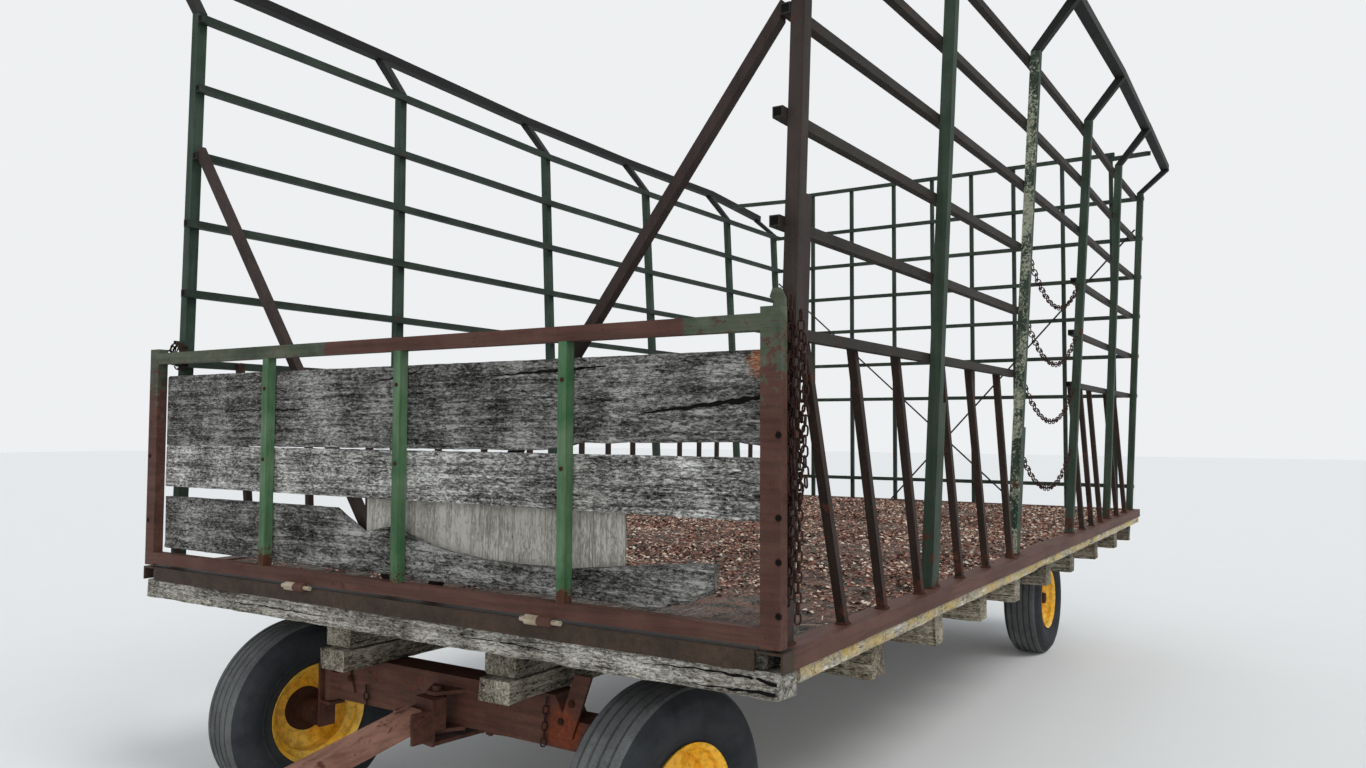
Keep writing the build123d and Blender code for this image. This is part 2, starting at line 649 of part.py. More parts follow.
# Rear axle: the same beam, with hanging plates that carry fixed spindles
spindle_plate_top = wheel_radius + 160.0
with BuildPart() as rear_axle:
    axle_beam(rear_axle_x)
    for side in (-1, 1):
        block(rear_axle_x - 32.0, rear_axle_x + 32.0, side * beam_half, side * (kingpin_y + 52.0), beam_bottom,
              spindle_plate_top)
        block(rear_axle_x - 32.0, rear_axle_x + 32.0, side * (kingpin_y + 30.0), side * (kingpin_y + 52.0),
              wheel_radius - 36.0, spindle_plate_top)
        round_bar((rear_axle_x, side * (kingpin_y + 50.0), wheel_radius),
                  (rear_axle_x, side * (kingpin_y + 240.0), wheel_radius), spindle)
finish(rear_axle, "rear_axle")

# Reach pole between the axles, and the hounds that brace it to the rear axle
with BuildPart() as reach_pole:
    block(rear_axle_x + beam_depth / 2, front_axle_x - beam_depth / 2, -reach_size / 2, reach_size / 2,
          reach_bottom, reach_bottom + reach_size)
    for side in (-1, 1):
        start = (rear_axle_x + beam_depth / 2 + 14.0, side * 330.0, reach_bottom + 40.0)
        end = (rear_axle_x + beam_depth / 2 + 950.0, side * (reach_size / 2 + 27.0), reach_bottom + 40.0)
        straight_bar(start, end, 50.0, 10.0, (0, 0, 1))
finish(reach_pole, "reach_pole")

# Wheels: tyre, rim with its disc, and hub
# Each wheel: name, side and whether it steers
wheels = [("front_left", 1, True), ("front_right", -1, True), ("rear_left", 1, False),
          ("rear_right", -1, False)]


def wheel_frame(side, steered):
    """Centre of a wheel and its outward direction."""
    if steered:
        kingpin_xy = (front_axle_x, side * kingpin_y)
        centre = Vector(*turned(kingpin_xy, 0.0, wheel_out, wheel_radius, side))
        outer = Vector(*turned(kingpin_xy, 0.0, wheel_out + 1.0, wheel_radius, side))
        return centre, outer - centre
    return Vector(rear_axle_x, side * (kingpin_y + wheel_out), wheel_radius), Vector(0, side, 0)


def turned_round(centre, outward, *points):
    """A ring about a wheel's axle, drawn by (radius, outward) points."""
    radial = Vector(0, 0, 1)
    with BuildSketch(Plane(origin=centre, x_dir=radial, z_dir=radial.cross(outward))) as profile:
        with BuildLine():
            Polyline(*points, close=True)
        make_face()
    revolve(profile.sketch, axis=Axis(centre, outward))


tyre_half = tyre_width / 2
for name, side, steered in wheels:
    centre, outward = wheel_frame(side, steered)
    with BuildPart() as tyre:
        turned_round(centre, outward, (182, -84), (205, -92), (wheel_radius - 95, -tyre_half + 6),
                     (wheel_radius - 67, -tyre_half), (wheel_radius - 35, -tyre_half + 8),
                     (wheel_radius - 13, -tyre_half + 26), (wheel_radius, -tyre_half + 60),
                     (wheel_radius, tyre_half - 60), (wheel_radius - 13, tyre_half - 26),
                     (wheel_radius - 35, tyre_half - 8), (wheel_radius - 67, tyre_half),
                     (wheel_radius - 95, tyre_half - 6), (205, 92), (182, 84), (178, 60), (178, -60))
    finish(tyre, f"tyre_{name}")
    with BuildPart() as rim:
        turned_round(centre, outward, (rim_flange, -rim_half), (rim_flange, -rim_half + 5), (181, -84),
                     (177.5, -80), (177.5, -58), (155, -40), (155, 30), (177.5, 58), (177.5, 80), (181, 84),
                     (rim_flange, rim_half - 5), (rim_flange, rim_half), (176, 86), (172, 80), (172, 60),
                     (150, 34), (150, -42), (172, -60), (172, -80), (176, -86))
        turned_round(centre, outward, (151, 10), (151, 18), (110, 34), (84, 24), (52, 24), (52, 16), (86, 16),
                     (110, 26))
    finish(rim, f"rim_{name}")
    with BuildPart() as hub:
        turned_round(centre, outward, (20.05, -110), (44, -110), (44, -30), (50, 0), (82, 4), (82, 15.5),
                     (50, 15.5), (50, 40), (34, 62), (34, 76), (0, 76), (0, 62), (20.05, 62))
    finish(hub, f"hub_{name}")
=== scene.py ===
"""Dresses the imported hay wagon: weathered timber, faded and rusted steel, tyres, chains and deck litter."""

import json
import logging
import math
import random
from collections.abc import Callable, Iterable
from dataclasses import dataclass, field
from enum import Enum
from typing import ClassVar

import bpy
import numpy as np
from mathutils import Matrix, Quaternion, Vector, noise


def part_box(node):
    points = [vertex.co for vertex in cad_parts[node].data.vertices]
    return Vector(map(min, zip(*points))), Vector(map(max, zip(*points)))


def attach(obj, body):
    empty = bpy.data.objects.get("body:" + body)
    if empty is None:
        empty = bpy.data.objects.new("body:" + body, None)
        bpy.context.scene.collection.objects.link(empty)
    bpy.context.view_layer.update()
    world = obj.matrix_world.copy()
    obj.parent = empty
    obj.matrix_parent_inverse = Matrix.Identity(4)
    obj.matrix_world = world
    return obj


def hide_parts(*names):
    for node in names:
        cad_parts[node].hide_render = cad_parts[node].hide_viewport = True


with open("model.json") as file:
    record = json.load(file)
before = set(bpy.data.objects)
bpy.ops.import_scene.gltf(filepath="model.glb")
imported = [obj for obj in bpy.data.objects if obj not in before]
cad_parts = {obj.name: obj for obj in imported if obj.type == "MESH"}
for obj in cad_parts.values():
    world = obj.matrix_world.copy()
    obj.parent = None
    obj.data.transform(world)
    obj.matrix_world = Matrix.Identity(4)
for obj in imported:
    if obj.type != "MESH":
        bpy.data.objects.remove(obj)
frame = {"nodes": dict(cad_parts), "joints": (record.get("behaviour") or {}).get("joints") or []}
log = logging.getLogger("hay_wagon")

Colour = tuple[float, float, float, float]
Triple = tuple[float, float, float]

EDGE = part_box("edge_angles")[1]
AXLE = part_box("front_axle")[1]
FAR_BELOW = -10.0
NOWHERE: Triple = (0.0, 0.0, FAR_BELOW)


def tint(red: int, green: int, blue: int) -> Colour:
    """Turn screen values into a linear colour.

    Args:
        red: Red, from 0 to 255.
        green: Green, from 0 to 255.
        blue: Blue, from 0 to 255.

    Returns:
        The linear colour, opaque.
    """
    linear = [((v / 255 + 0.055) / 1.055) ** 2.4 if v > 10 else v / 255 / 12.92 for v in (red, green, blue)]
    return (linear[0], linear[1], linear[2], 1.0)


class Run(Enum):
    """The way that grain or brush marks run, as the share by which each axis is stretched."""

    ALONG_X = (0.05, 1.0, 1.0)
    ALONG_Y = (1.0, 0.05, 1.0)
    ALONG_Z = (1.0, 1.0, 0.05)
    NONE = (1.0, 1.0, 1.0)


class Signal:
    """A value in a node tree; arithmetic on it adds the nodes that work it out."""

    def __init__(self, graph: "Graph", socket: bpy.types.NodeSocket) -> None:
        """Keep the socket and the graph that it stands in."""
        self.graph, self.socket = graph, socket

    def __add__(self, other: object) -> "Signal":
        """Add a value."""
        return self.graph.math("ADD", self, other)

    def __sub__(self, other: object) -> "Signal":
        """Take a value away."""
        return self.graph.math("SUBTRACT", self, other)

    def __rsub__(self, other: object) -> "Signal":
        """Take this signal from a value."""
        return self.graph.math("SUBTRACT", other, self)

    def __mul__(self, other: object) -> "Signal":
        """Multiply by a value."""
        return self.graph.math("MULTIPLY", self, other)

    def __abs__(self) -> "Signal":
        """Drop the sign."""
        return self.graph.math("ABSOLUTE", self)

    def peak(self, other: object) -> "Signal":
        """Return the larger of two values."""
        return self.graph.math("MAXIMUM", self, other)

    def span(self, low: float, high: float, start: float = 0.0, end: float = 1.0) -> "Signal":
        """Map low..high to start..end, clamped."""
        return self.graph.value("ShaderNodeMapRange", {"Value": self, "From Min": low, "From Max": high,
                                                       "To Min": start, "To Max": end})


class Graph:
    """Builds one node tree by short calls."""

    def __init__(self, tree: bpy.types.NodeTree) -> None:
        """Keep the tree that the calls add to."""
        self.tree = tree

    def feed(self, socket: bpy.types.NodeSocket, value: object) -> None:
        """Link a socket to a signal, or set its value.

        Args:
            socket: The input to fill.
            value: A signal, or a plain value.
        """
        if isinstance(value, Signal):
            self.tree.links.new(value.socket, socket)
        else:
            socket.default_value = value

    def node(self, kind: str, inputs: dict | None = None, **settings: object) -> bpy.types.Node:
        """Add a node.

        Args:
            kind: The node's type name.
            inputs: Values or signals by input name or number.
            **settings: The node's own properties.

        Returns:
            The new node.
        """
        made = self.tree.nodes.new(kind)
        for name, value in settings.items():
            setattr(made, name, value)
        for name, value in (inputs or {}).items():
            self.feed(made.inputs[name], value)
        return made

    def value(self, kind: str, inputs: dict | None = None, output: str | int = 0,
              **settings: object) -> Signal:
        """Add a node and return one of its outputs."""
        return Signal(self, self.node(kind, inputs, **settings).outputs[output])

    def math(self, operation: str, first: object, second: object = 0.0, clamp: bool = False) -> Signal:
        """Combine two values."""
        return self.value("ShaderNodeMath", {0: first, 1: second}, operation=operation, use_clamp=clamp)

    def mix(self, share: object, first: object, second: object, blend: str = "MIX") -> Signal:
        """Mix two colours by a share."""
        return self.value("ShaderNodeMix", {0: share, 6: first, 7: second}, 2, data_type="RGBA",
                          blend_type=blend)

    def noise(self, vector: Signal, scale: object, detail: float = 4.0, rough: float = 0.6,
              warp: float = 0.0) -> Signal:
        """Add a noise texture and return its value."""
        return self.value("ShaderNodeTexNoise", {"Vector": vector, "Scale": scale, "Detail": detail,
                                                 "Roughness": rough, "Distortion": warp})

    def stretch(self, vector: Signal, scale: Triple, shift: Triple = (0.0, 0.0, 0.0)) -> Signal:
        """Scale and shift a vector."""
        return self.value("ShaderNodeMapping", {"Vector": vector, "Scale": scale, "Location": shift})

    def values(self, kind: str, inputs: dict | None = None) -> dict[str, Signal]:
        """Add a node and return all its outputs by name."""
        return {s.name: Signal(self, s) for s in self.node(kind, inputs).outputs}

    def split(self, vector: Signal) -> dict[str, Signal]:
        """Return a vector's parts by the names X, Y and Z."""
        return self.values("ShaderNodeSeparateXYZ", {0: vector})

    def distance(self, vector: Signal, place: Triple) -> Signal:
        """Return how far a vector is from a place."""
        return self.value("ShaderNodeVectorMath", {0: vector, 1: place}, "Value", operation="DISTANCE")

    def own_tone(self) -> Signal:
        """Return the shade that each form of a batch carries."""
        return self.value("ShaderNodeAttribute", output="Fac", attribute_name="board")


class Effect:
    """A shader effect that several materials share, kept as one node group with named sockets."""

    name = "effect"
    takes: tuple[tuple[str, str, object], ...] = ()
    gives: tuple[str, ...] = ()

    def draw(self, graph: Graph, taken: dict[str, Signal]) -> dict[str, Signal]:
        """Fill the group; each effect has its own.

        Args:
            graph: The group's tree.
            taken: The group's inputs by name.

        Returns:
            What feeds each output, by name.
        """
        raise NotImplementedError

    def tree(self) -> bpy.types.NodeTree:
        """Build the group's tree on first use.

        Returns:
            The tree.
        """
        found = bpy.data.node_groups.get(self.name)
        if found:
            return found
        made = bpy.data.node_groups.new(self.name, "ShaderNodeTree")
        for name, kind, value in self.takes:
            socket = made.interface.new_socket(name, in_out="INPUT", socket_type=f"NodeSocket{kind}")
            if value is not None:
                socket.default_value = value
        for name in self.gives:
            made.interface.new_socket(name, in_out="OUTPUT", socket_type="NodeSocketFloat")
        graph = Graph(made)
        source, target = graph.node("NodeGroupInput"), graph.node("NodeGroupOutput")
        taken = {s.name: Signal(graph, s) for s in source.outputs if s.name}
        for name, value in self.draw(graph, taken).items():
            graph.feed(target.inputs[name], value)
        return made

    def place(self, graph: Graph, **values: object) -> dict[str, Signal]:
        """Put the group into a material's tree.

        Args:
            graph: The material's tree.
            **values: Values or signals, by socket name in lower case.

        Returns:
            The group's outputs by name.
        """
        made = graph.node("ShaderNodeGroup", node_tree=self.tree())
        for name, value in values.items():
            graph.feed(made.inputs[name.capitalize()], value)
        return {s.name: Signal(graph, s) for s in made.outputs}


class GrainEffect(Effect):
    """Weathered timber: black and white flecks over long streaks, with checks along the grain whose dark is
    painted shade inside the cracks.
    """

    name = "timber grain"
    takes = (("Long", "Vector", None), ("Short", "Vector", None), ("Place", "Vector", None),
             ("Balance", "Float", 0.5))
    gives = ("Level", "Check", "Height")

    def draw(self, graph: Graph, taken: dict[str, Signal]) -> dict[str, Signal]:
        """Fill the group; Balance moves the middle of the flecks from dark to light.

        Args:
            graph: The group's tree.
            taken: The group's inputs by name.

        Returns:
            What feeds each output, by name.
        """
        flecks = graph.noise(taken["Short"], 170.0, 6.0, 0.85, 0.6)
        streaks = graph.noise(taken["Long"], 62.0, 6.0, 0.75, 0.5)
        clouds = graph.noise(taken["Place"], 6.0, 6.0, 0.68)
        tone = flecks * 0.54 + (streaks * 0.26 + clouds * 0.2)
        middle = 0.56 - taken["Balance"] * 0.12
        level = graph.math("ADD", (tone - middle) * 8.5, 0.5, clamp=True)
        lines = graph.noise(taken["Long"], 15.0, 3.0, 0.5, 0.7)
        check = abs(lines - 0.5).span(0.006, 0.0) * graph.noise(taken["Long"], 9.0).span(0.5, 0.56)
        return {"Level": level, "Check": check, "Height": level * 0.5 - check}


class RustEffect(Effect):
    """Rust that breaks through paint in patches, given as a mask and a shade from deep to bright."""

    name = "rust"
    takes = (("Vector", "Vector", None), ("Amount", "Float", 0.4), ("Scale", "Float", 14.0))
    gives = ("Mask", "Shade", "Height")

    def draw(self, graph: Graph, taken: dict[str, Signal]) -> dict[str, Signal]:
        """Fill the group: patches grow with Amount, and few places turn bright.

        Args:
            graph: The group's tree.
            taken: The group's inputs by name.

        Returns:
            What feeds each output, by name.
        """
        vector, scale = taken["Vector"], taken["Scale"]
        edge = 0.72 - taken["Amount"] * 0.44
        mask = (graph.noise(vector, scale, 8.0, 0.68, 0.3) - edge).span(-0.02, 0.04)
        fine = graph.noise(vector, scale * 5.0, 6.0, 0.7)
        bright = graph.noise(vector, scale * 1.9).span(0.54, 0.72)
        return {"Mask": mask, "Shade": fine.span(0.35, 0.65) * 0.5 + bright * 0.5, "Height": fine * mask}


class LichenEffect(Effect):
    """Crusts of lichen in small rounded patches that gather in some places."""

    name = "lichen"
    takes = (("Vector", "Vector", None), ("Amount", "Float", 0.4), ("Scale", "Float", 60.0))
    gives = ("Mask", "Tone")

    def draw(self, graph: Graph, taken: dict[str, Signal]) -> dict[str, Signal]:
        """Fill the group: fine noise is cut by a threshold that follows broad noise and Amount.

        Args:
            graph: The group's tree.
            taken: The group's inputs by name.

        Returns:
            What feeds each output, by name.
        """
        crust = graph.noise(taken["Vector"], taken["Scale"], 6.0, 0.75, 0.6)
        broad = graph.noise(taken["Vector"], taken["Scale"] * 0.12, 3.0, 0.6)
        level = 0.98 - taken["Amount"] * 0.62
        mask = (crust * 0.6 + broad * 0.5 - level).span(-0.015, 0.03)
        return {"Mask": mask, "Tone": crust.span(0.4, 0.7)}


class GrimeEffect(Effect):
    """Broad stains and fine specks that darken or pale a surface."""

    name = "grime"
    takes = (("Vector", "Vector", None), ("Scale", "Float", 4.0))
    gives = ("Stain", "Speck")

    def draw(self, graph: Graph, taken: dict[str, Signal]) -> dict[str, Signal]:
        """Fill the group with one broad and one fine noise.

        Args:
            graph: The group's tree.
            taken: The group's inputs by name.

        Returns:
            What feeds each output, by name.
        """
        stain = graph.noise(taken["Vector"], taken["Scale"], 5.0, 0.62, 0.3)
        speck = graph.noise(taken["Vector"], taken["Scale"] * 48.0, 3.0, 0.7)
        return {"Stain": stain.span(0.34, 0.68), "Speck": speck.span(0.38, 0.64)}


GRAIN, RUST, LICHEN, GRIME = GrainEffect(), RustEffect(), LichenEffect(), GrimeEffect()


@dataclass(frozen=True)
class Finish:
    """A material of its own; each kind draws its colour, roughness and relief."""

    name: str
    shine: ClassVar[float] = 0.16
    bump: ClassVar[float] = 0.9

    def draw(self, graph: Graph, vector: Signal) -> dict[str, object]:
        """Draw the surface; each finish has its own.

        Args:
            graph: The material's tree.
            vector: The object's coordinates.

        Returns:
            What feeds Base Color, Roughness, Metallic and Height, by name.
        """
        raise NotImplementedError

    def material(self, relief: float) -> bpy.types.Material:
        """Return the material, built on first use.

        Args:
            relief: The bump's depth in metres.

        Returns:
            The material with a plain surface shader fed by this finish.
        """
        found = bpy.data.materials.get(self.name)
        if found:
            return found
        made = bpy.data.materials.new(self.name)
        made.use_nodes = True
        made.node_tree.nodes.clear()
        graph = Graph(made.node_tree)
        feeds = self.draw(graph, graph.value("ShaderNodeTexCoord", output="Object"))
        height = feeds.pop("Height")
        normal = graph.value("ShaderNodeBump", {"Height": height, "Distance": relief, "Strength": self.bump})
        surface = graph.value("ShaderNodeBsdfPrincipled", {**feeds, "Normal": normal,
                                                           "Specular IOR Level": self.shine})
        graph.node("ShaderNodeOutputMaterial", {"Surface": surface})
        return made


@dataclass(frozen=True)
class TimberFinish(Finish):
    """Grey, sun-bleached timber with checks, stains, lichen and trodden litter."""

    pale: Colour
    mid: Colour
    deep: Colour
    run: Run
    balance: float = 0.5
    lichen: float = 0.0
    lichen_tint: Colour = tint(176, 160, 74)
    lichen_floor: float = FAR_BELOW
    litter: float = 0.0
    warm: float = 0.0
    spot: Triple = NOWHERE
    spot_reach: float = 0.04
    swept_from: float = 1000.0
    # How strongly the checks are darkened as painted shade.
    checks: float = 1.0

    def draw(self, graph: Graph, vector: Signal) -> dict[str, object]:
        """Layer flecked grain, warm stains, the board's own tone, checks darkened as painted shade, lichen
        and litter.

        Args:
            graph: The material's tree.
            vector: The object's coordinates.

        Returns:
            What feeds the surface, by name.
        """
        board = graph.own_tone()
        offset = graph.value("ShaderNodeCombineXYZ", {"X": board * 7.0, "Y": board, "Z": board * 3.0})
        placed = graph.value("ShaderNodeVectorMath", {0: vector, 1: offset}, operation="ADD")
        short = tuple(0.3 if share < 1.0 else 1.0 for share in self.run.value)
        grain = GRAIN.place(graph, long=graph.stretch(placed, self.run.value),
                            short=graph.stretch(placed, short), place=placed, balance=self.balance)
        grime = GRIME.place(graph, vector=placed, scale=3.2)
        colour = graph.mix(grain["Level"].span(0.0, 0.5), self.deep, self.mid)
        colour = graph.mix(grain["Level"].span(0.5, 1.0), colour, self.pale)
        for share, stain in ((graph.noise(placed, 2.3).span(0.48, 0.66) * self.warm, tint(136, 104, 76)),
                             (board * 0.55, tint(120, 118, 116)),
                             (grime["Stain"] * 0.35, tint(128, 122, 112))):
            colour = graph.mix(share, colour, stain, "MULTIPLY")
        # Painted shade: the checks are darkened to near black for the shade inside the cracks.
        colour = graph.mix(grain["Check"] * self.checks, colour, tint(14, 13, 12))
        crust = LICHEN.place(graph, vector=placed, amount=self.lichen, scale=70.0)
        parts = graph.split(vector)
        height = parts["Z"] + graph.noise(vector, 12.0, 6.0, 0.7) * 0.06
        covered = crust["Mask"] * height.span(self.lichen_floor + 0.02, self.lichen_floor + 0.04)
        colour = graph.mix(covered, colour, graph.mix(crust["Tone"], self.lichen_tint, tint(206, 202, 184)))
        away = graph.distance(vector, self.spot) + graph.noise(vector, 70.0, 8.0, 0.8) * 0.12
        spotted = away.span(self.spot_reach + 0.06, self.spot_reach + 0.02, 0.0, 0.8)
        colour = graph.mix(spotted, colour, tint(190, 104, 28))
        kept = parts["X"].span(self.swept_from, self.swept_from - 0.3, 0.0, self.litter)
        crumbs = graph.noise(vector, 150.0, 6.0, 0.8)
        litter = graph.mix(crumbs.span(0.38, 0.48), tint(50, 34, 30), tint(138, 98, 86))
        litter = graph.mix(crumbs.span(0.5, 0.6), litter, tint(206, 170, 150))
        trodden = graph.noise(vector, 14.0, 8.0, 0.74).span(0.45, 0.55) * kept
        return {"Base Color": graph.mix(trodden, colour, litter),
                "Roughness": grime["Speck"].span(0.0, 1.0, 0.82, 0.96),
                "Height": grain["Height"] + covered * 0.35}


@dataclass(frozen=True)
class PaintFinish(Finish):
    """Old paint on steel: faded, speckled and broken by rust; a second coat may cover one end."""

    paint: Colour
    faded: Colour
    rust: float
    run: Run = Run.NONE
    lichen: float = 0.0
    deep_rust: Colour = tint(58, 38, 32)
    bright_rust: Colour = tint(104, 62, 44)
    foot: float = FAR_BELOW
    foot_reach: float = 0.3
    foot_rust: float = 0.0
    gloss: float = 0.62
    second: Colour | None = None
    second_faded: Colour = tint(90, 70, 60)
    second_axis: str = "X"
    second_from: float = 0.0
    second_above: float = FAR_BELOW
    second_centre: float = 0.0
    crusted: float = 0.0
    crusted_at: float = 0.0
    patch: Triple = NOWHERE
    patch_reach: float = 0.1

    def coat(self, graph: Graph, vector: Signal, stain: Signal) -> Signal:
        """Return the paint's colour before wear.

        Args:
            graph: The material's tree.
            vector: The object's coordinates.
            stain: The mask that picks faded paint.

        Returns:
            The colour.
        """
        first = graph.mix(stain, self.paint, self.faded)
        if self.second is None:
            return first
        parts = graph.split(vector)
        along = parts[self.second_axis]
        if self.second_axis == "Y":
            along = abs(along - self.second_centre)
        along += graph.noise(vector, 20.0, 5.0, 0.7) * 0.12
        height = parts["Z"] + graph.noise(vector, 40.0, 6.0, 0.75)
        share = (along.span(self.second_from + 0.05, self.second_from + 0.07)
                 * height.span(self.second_above + 0.5, self.second_above + 0.54))
        return graph.mix(share, first, graph.mix(stain, self.second, self.second_faded))

    def draw(self, graph: Graph, vector: Signal) -> dict[str, object]:
        """Layer the coats, streaks, specks, rust, its fresh patch and grey lichen.

        Args:
            graph: The material's tree.
            vector: The object's coordinates.

        Returns:
            What feeds the surface, by name.
        """
        grime = GRIME.place(graph, vector=vector, scale=6.0)
        parts = graph.split(vector)
        low = parts["Z"].span(self.foot + self.foot_reach, self.foot, 0.0, self.foot_rust)
        rust = RUST.place(graph, vector=vector, amount=low + self.rust, scale=15.0)
        flecks = RUST.place(graph, vector=graph.stretch(vector, (1.0, 1.0, 1.0), (3.1, 1.7, 0.4)), scale=95.0,
                            amount=low * 0.6 + self.rust * 0.8)
        streaks = graph.noise(graph.stretch(vector, self.run.value), 40.0, 5.0, 0.7).span(0.44, 0.6)
        colour = self.coat(graph, vector, grime["Stain"])
        colour = graph.mix(streaks * 0.45, colour, tint(140, 134, 126), "MULTIPLY")
        colour = graph.mix(grime["Speck"] * 0.05, colour, tint(150, 148, 136))
        for layer in (flecks, rust):
            colour = graph.mix(layer["Mask"], colour,
                               graph.mix(layer["Shade"], self.deep_rust, self.bright_rust))
        near = graph.distance(vector, self.patch) + graph.noise(vector, 26.0, 8.0, 0.8) * 0.2
        colour = graph.mix(near.span(self.patch_reach + 0.1, self.patch_reach + 0.06, 0.0, 0.85), colour,
                           graph.mix(rust["Shade"], tint(92, 42, 24), tint(150, 74, 38)))
        crusted = abs(parts["X"] - self.crusted_at).span(0.3, 0.24, 0.0, self.crusted)
        crust = LICHEN.place(graph, vector=vector, amount=crusted + self.lichen, scale=85.0)
        colour = graph.mix(crust["Mask"], colour,
                           graph.mix(crust["Tone"], tint(112, 118, 96), tint(176, 176, 158)))
        bare = rust["Mask"].peak(flecks["Mask"])
        return {"Base Color": colour, "Roughness": bare.span(0.0, 1.0, self.gloss, 0.92),
                "Height": rust["Height"] * 0.6 - bare * 0.25 + crust["Mask"] * 0.5}


@dataclass(frozen=True)
class RustAndPaintedShadeFinish(Finish):
    """Steel with no paint left; with no rust patches and near-black colours it serves as painted shade inside
    hollows.
    """

    light: Colour
    dark: Colour
    patches: float = 0.6

    def draw(self, graph: Graph, vector: Signal) -> dict[str, object]:
        """Mix a dark and a bright rust with worn dark metal; for painted shade the colours are near black and
        there is no rust.

        Args:
            graph: The material's tree.
            vector: The object's coordinates.

        Returns:
            What feeds the surface, by name.
        """
        rust = RUST.place(graph, vector=vector, amount=0.75, scale=40.0)
        fine = graph.noise(vector, 210.0, 5.0, 0.7).span(0.36, 0.64)
        colour = graph.mix(rust["Mask"] * self.patches, graph.mix(fine, self.dark, self.light),
                           graph.mix(rust["Shade"], tint(52, 34, 28), tint(128, 76, 50)))
        return {"Base Color": graph.mix(graph.own_tone() * 0.35, colour, self.dark),
                "Roughness": fine.span(0.0, 1.0, 0.7, 0.92), "Metallic": 0.15, "Height": fine}


@dataclass(frozen=True)
class RubberFinish(Finish):
    """Sun-aged tyre rubber, dusty, with small cracks."""

    rubber: Colour
    dust: Colour
    dustiness: float

    def draw(self, graph: Graph, vector: Signal) -> dict[str, object]:
        """Mix dusty rubber with fine cracks, darkened as painted shade, and scuffs.

        Args:
            graph: The material's tree.
            vector: The object's coordinates.

        Returns:
            What feeds the surface, by name.
        """
        grime = GRIME.place(graph, vector=vector, scale=7.0)
        dusty = (grime["Stain"] + grime["Speck"]) * (0.5 * self.dustiness)
        cells = graph.value("ShaderNodeTexVoronoi", {"Vector": vector, "Scale": 130.0}, "Distance",
                            feature="DISTANCE_TO_EDGE")
        crack = cells.span(0.035, 0.0) * graph.noise(vector, 22.0).span(0.5, 0.6)
        # Painted shade: the cracks darken toward near black for the shade inside them.
        colour = graph.mix(crack * 0.7, graph.mix(dusty, self.rubber, self.dust), tint(14, 14, 15))
        return {"Base Color": colour, "Roughness": grime["Speck"].span(0.0, 1.0, 0.68, 0.9),
                "Height": grime["Speck"] * 0.3 - crack}


@dataclass(frozen=True)
class LitterFinish(Finish):
    """Dry leaf crumbs and chaff, whose tone changes from crumb to crumb."""

    first: Colour
    second: Colour
    third: Colour

    def draw(self, graph: Graph, vector: Signal) -> dict[str, object]:
        """Pick between three tones by each crumb's own value.

        Args:
            graph: The material's tree.
            vector: The object's coordinates.

        Returns:
            What feeds the surface, by name.
        """
        tone = graph.own_tone()
        colour = graph.mix(tone.span(0.2, 0.5), self.first, self.second)
        colour = graph.mix(tone.span(0.62, 0.9), colour, self.third)
        fine = graph.noise(vector, 400.0, 2.0)
        return {"Base Color": graph.mix(fine.span(0.4, 0.6, 0.0, 0.3), colour, tint(40, 30, 26)),
                "Roughness": fine.span(0.0, 1.0, 0.8, 0.95), "Height": fine}


@dataclass(frozen=True)
class FloorFinish(Finish):
    """The pale studio floor."""

    pale: Colour

    def draw(self, graph: Graph, vector: Signal) -> dict[str, object]:
        """Give the floor a trace of tone so that it isn't flat."""
        fine = graph.noise(vector, 3.0, 3.0)
        return {"Base Color": graph.mix(fine.span(0.3, 0.7, 0.0, 0.06), self.pale, tint(214, 214, 212)),
                "Roughness": fine.span(0.0, 1.0, 0.85, 0.95), "Height": fine}


DECK_WOOD = TimberFinish("deck timber", tint(168, 164, 152), tint(100, 96, 88), tint(34, 31, 28), Run.ALONG_X,
                         litter=0.8, warm=0.4, swept_from=EDGE.x - 0.25)
SIDE_WOOD = TimberFinish("side board timber", tint(232, 227, 212), tint(156, 151, 138), tint(40, 37, 32),
                         Run.ALONG_X, 0.68, 0.74, tint(190, 154, 50), EDGE.z - 0.088, checks=0.4, warm=0.2)
BEAM_WOOD = TimberFinish("front beam timber", tint(232, 228, 216), tint(148, 142, 130), tint(28, 26, 23),
                         Run.ALONG_Y, 0.66, 0.46, tint(190, 188, 166), checks=0.3, warm=0.3)
JOIST_WOOD = TimberFinish("joist timber", tint(216, 207, 186), tint(150, 141, 122), tint(52, 46, 37),
                          Run.ALONG_Y, 0.55, 0.3, warm=0.6)
STRINGER_WOOD = TimberFinish("stringer timber", tint(230, 223, 204), tint(156, 147, 128), tint(42, 38, 31),
                             Run.ALONG_X, 0.56, 0.4, tint(160, 156, 126), warm=0.3)
GATE_WOOD = TimberFinish("gate board timber", tint(224, 223, 217), tint(124, 122, 118), tint(18, 17, 17),
                         Run.ALONG_Y, 0.58, spot=(EDGE.x - 0.038, 1.325, EDGE.z + 0.715), spot_reach=0.055)
PATCH_WOOD = TimberFinish("patch board timber", tint(246, 242, 230), tint(222, 217, 203), tint(150, 145, 132),
                          Run.ALONG_Z, 0.95, checks=0.3)

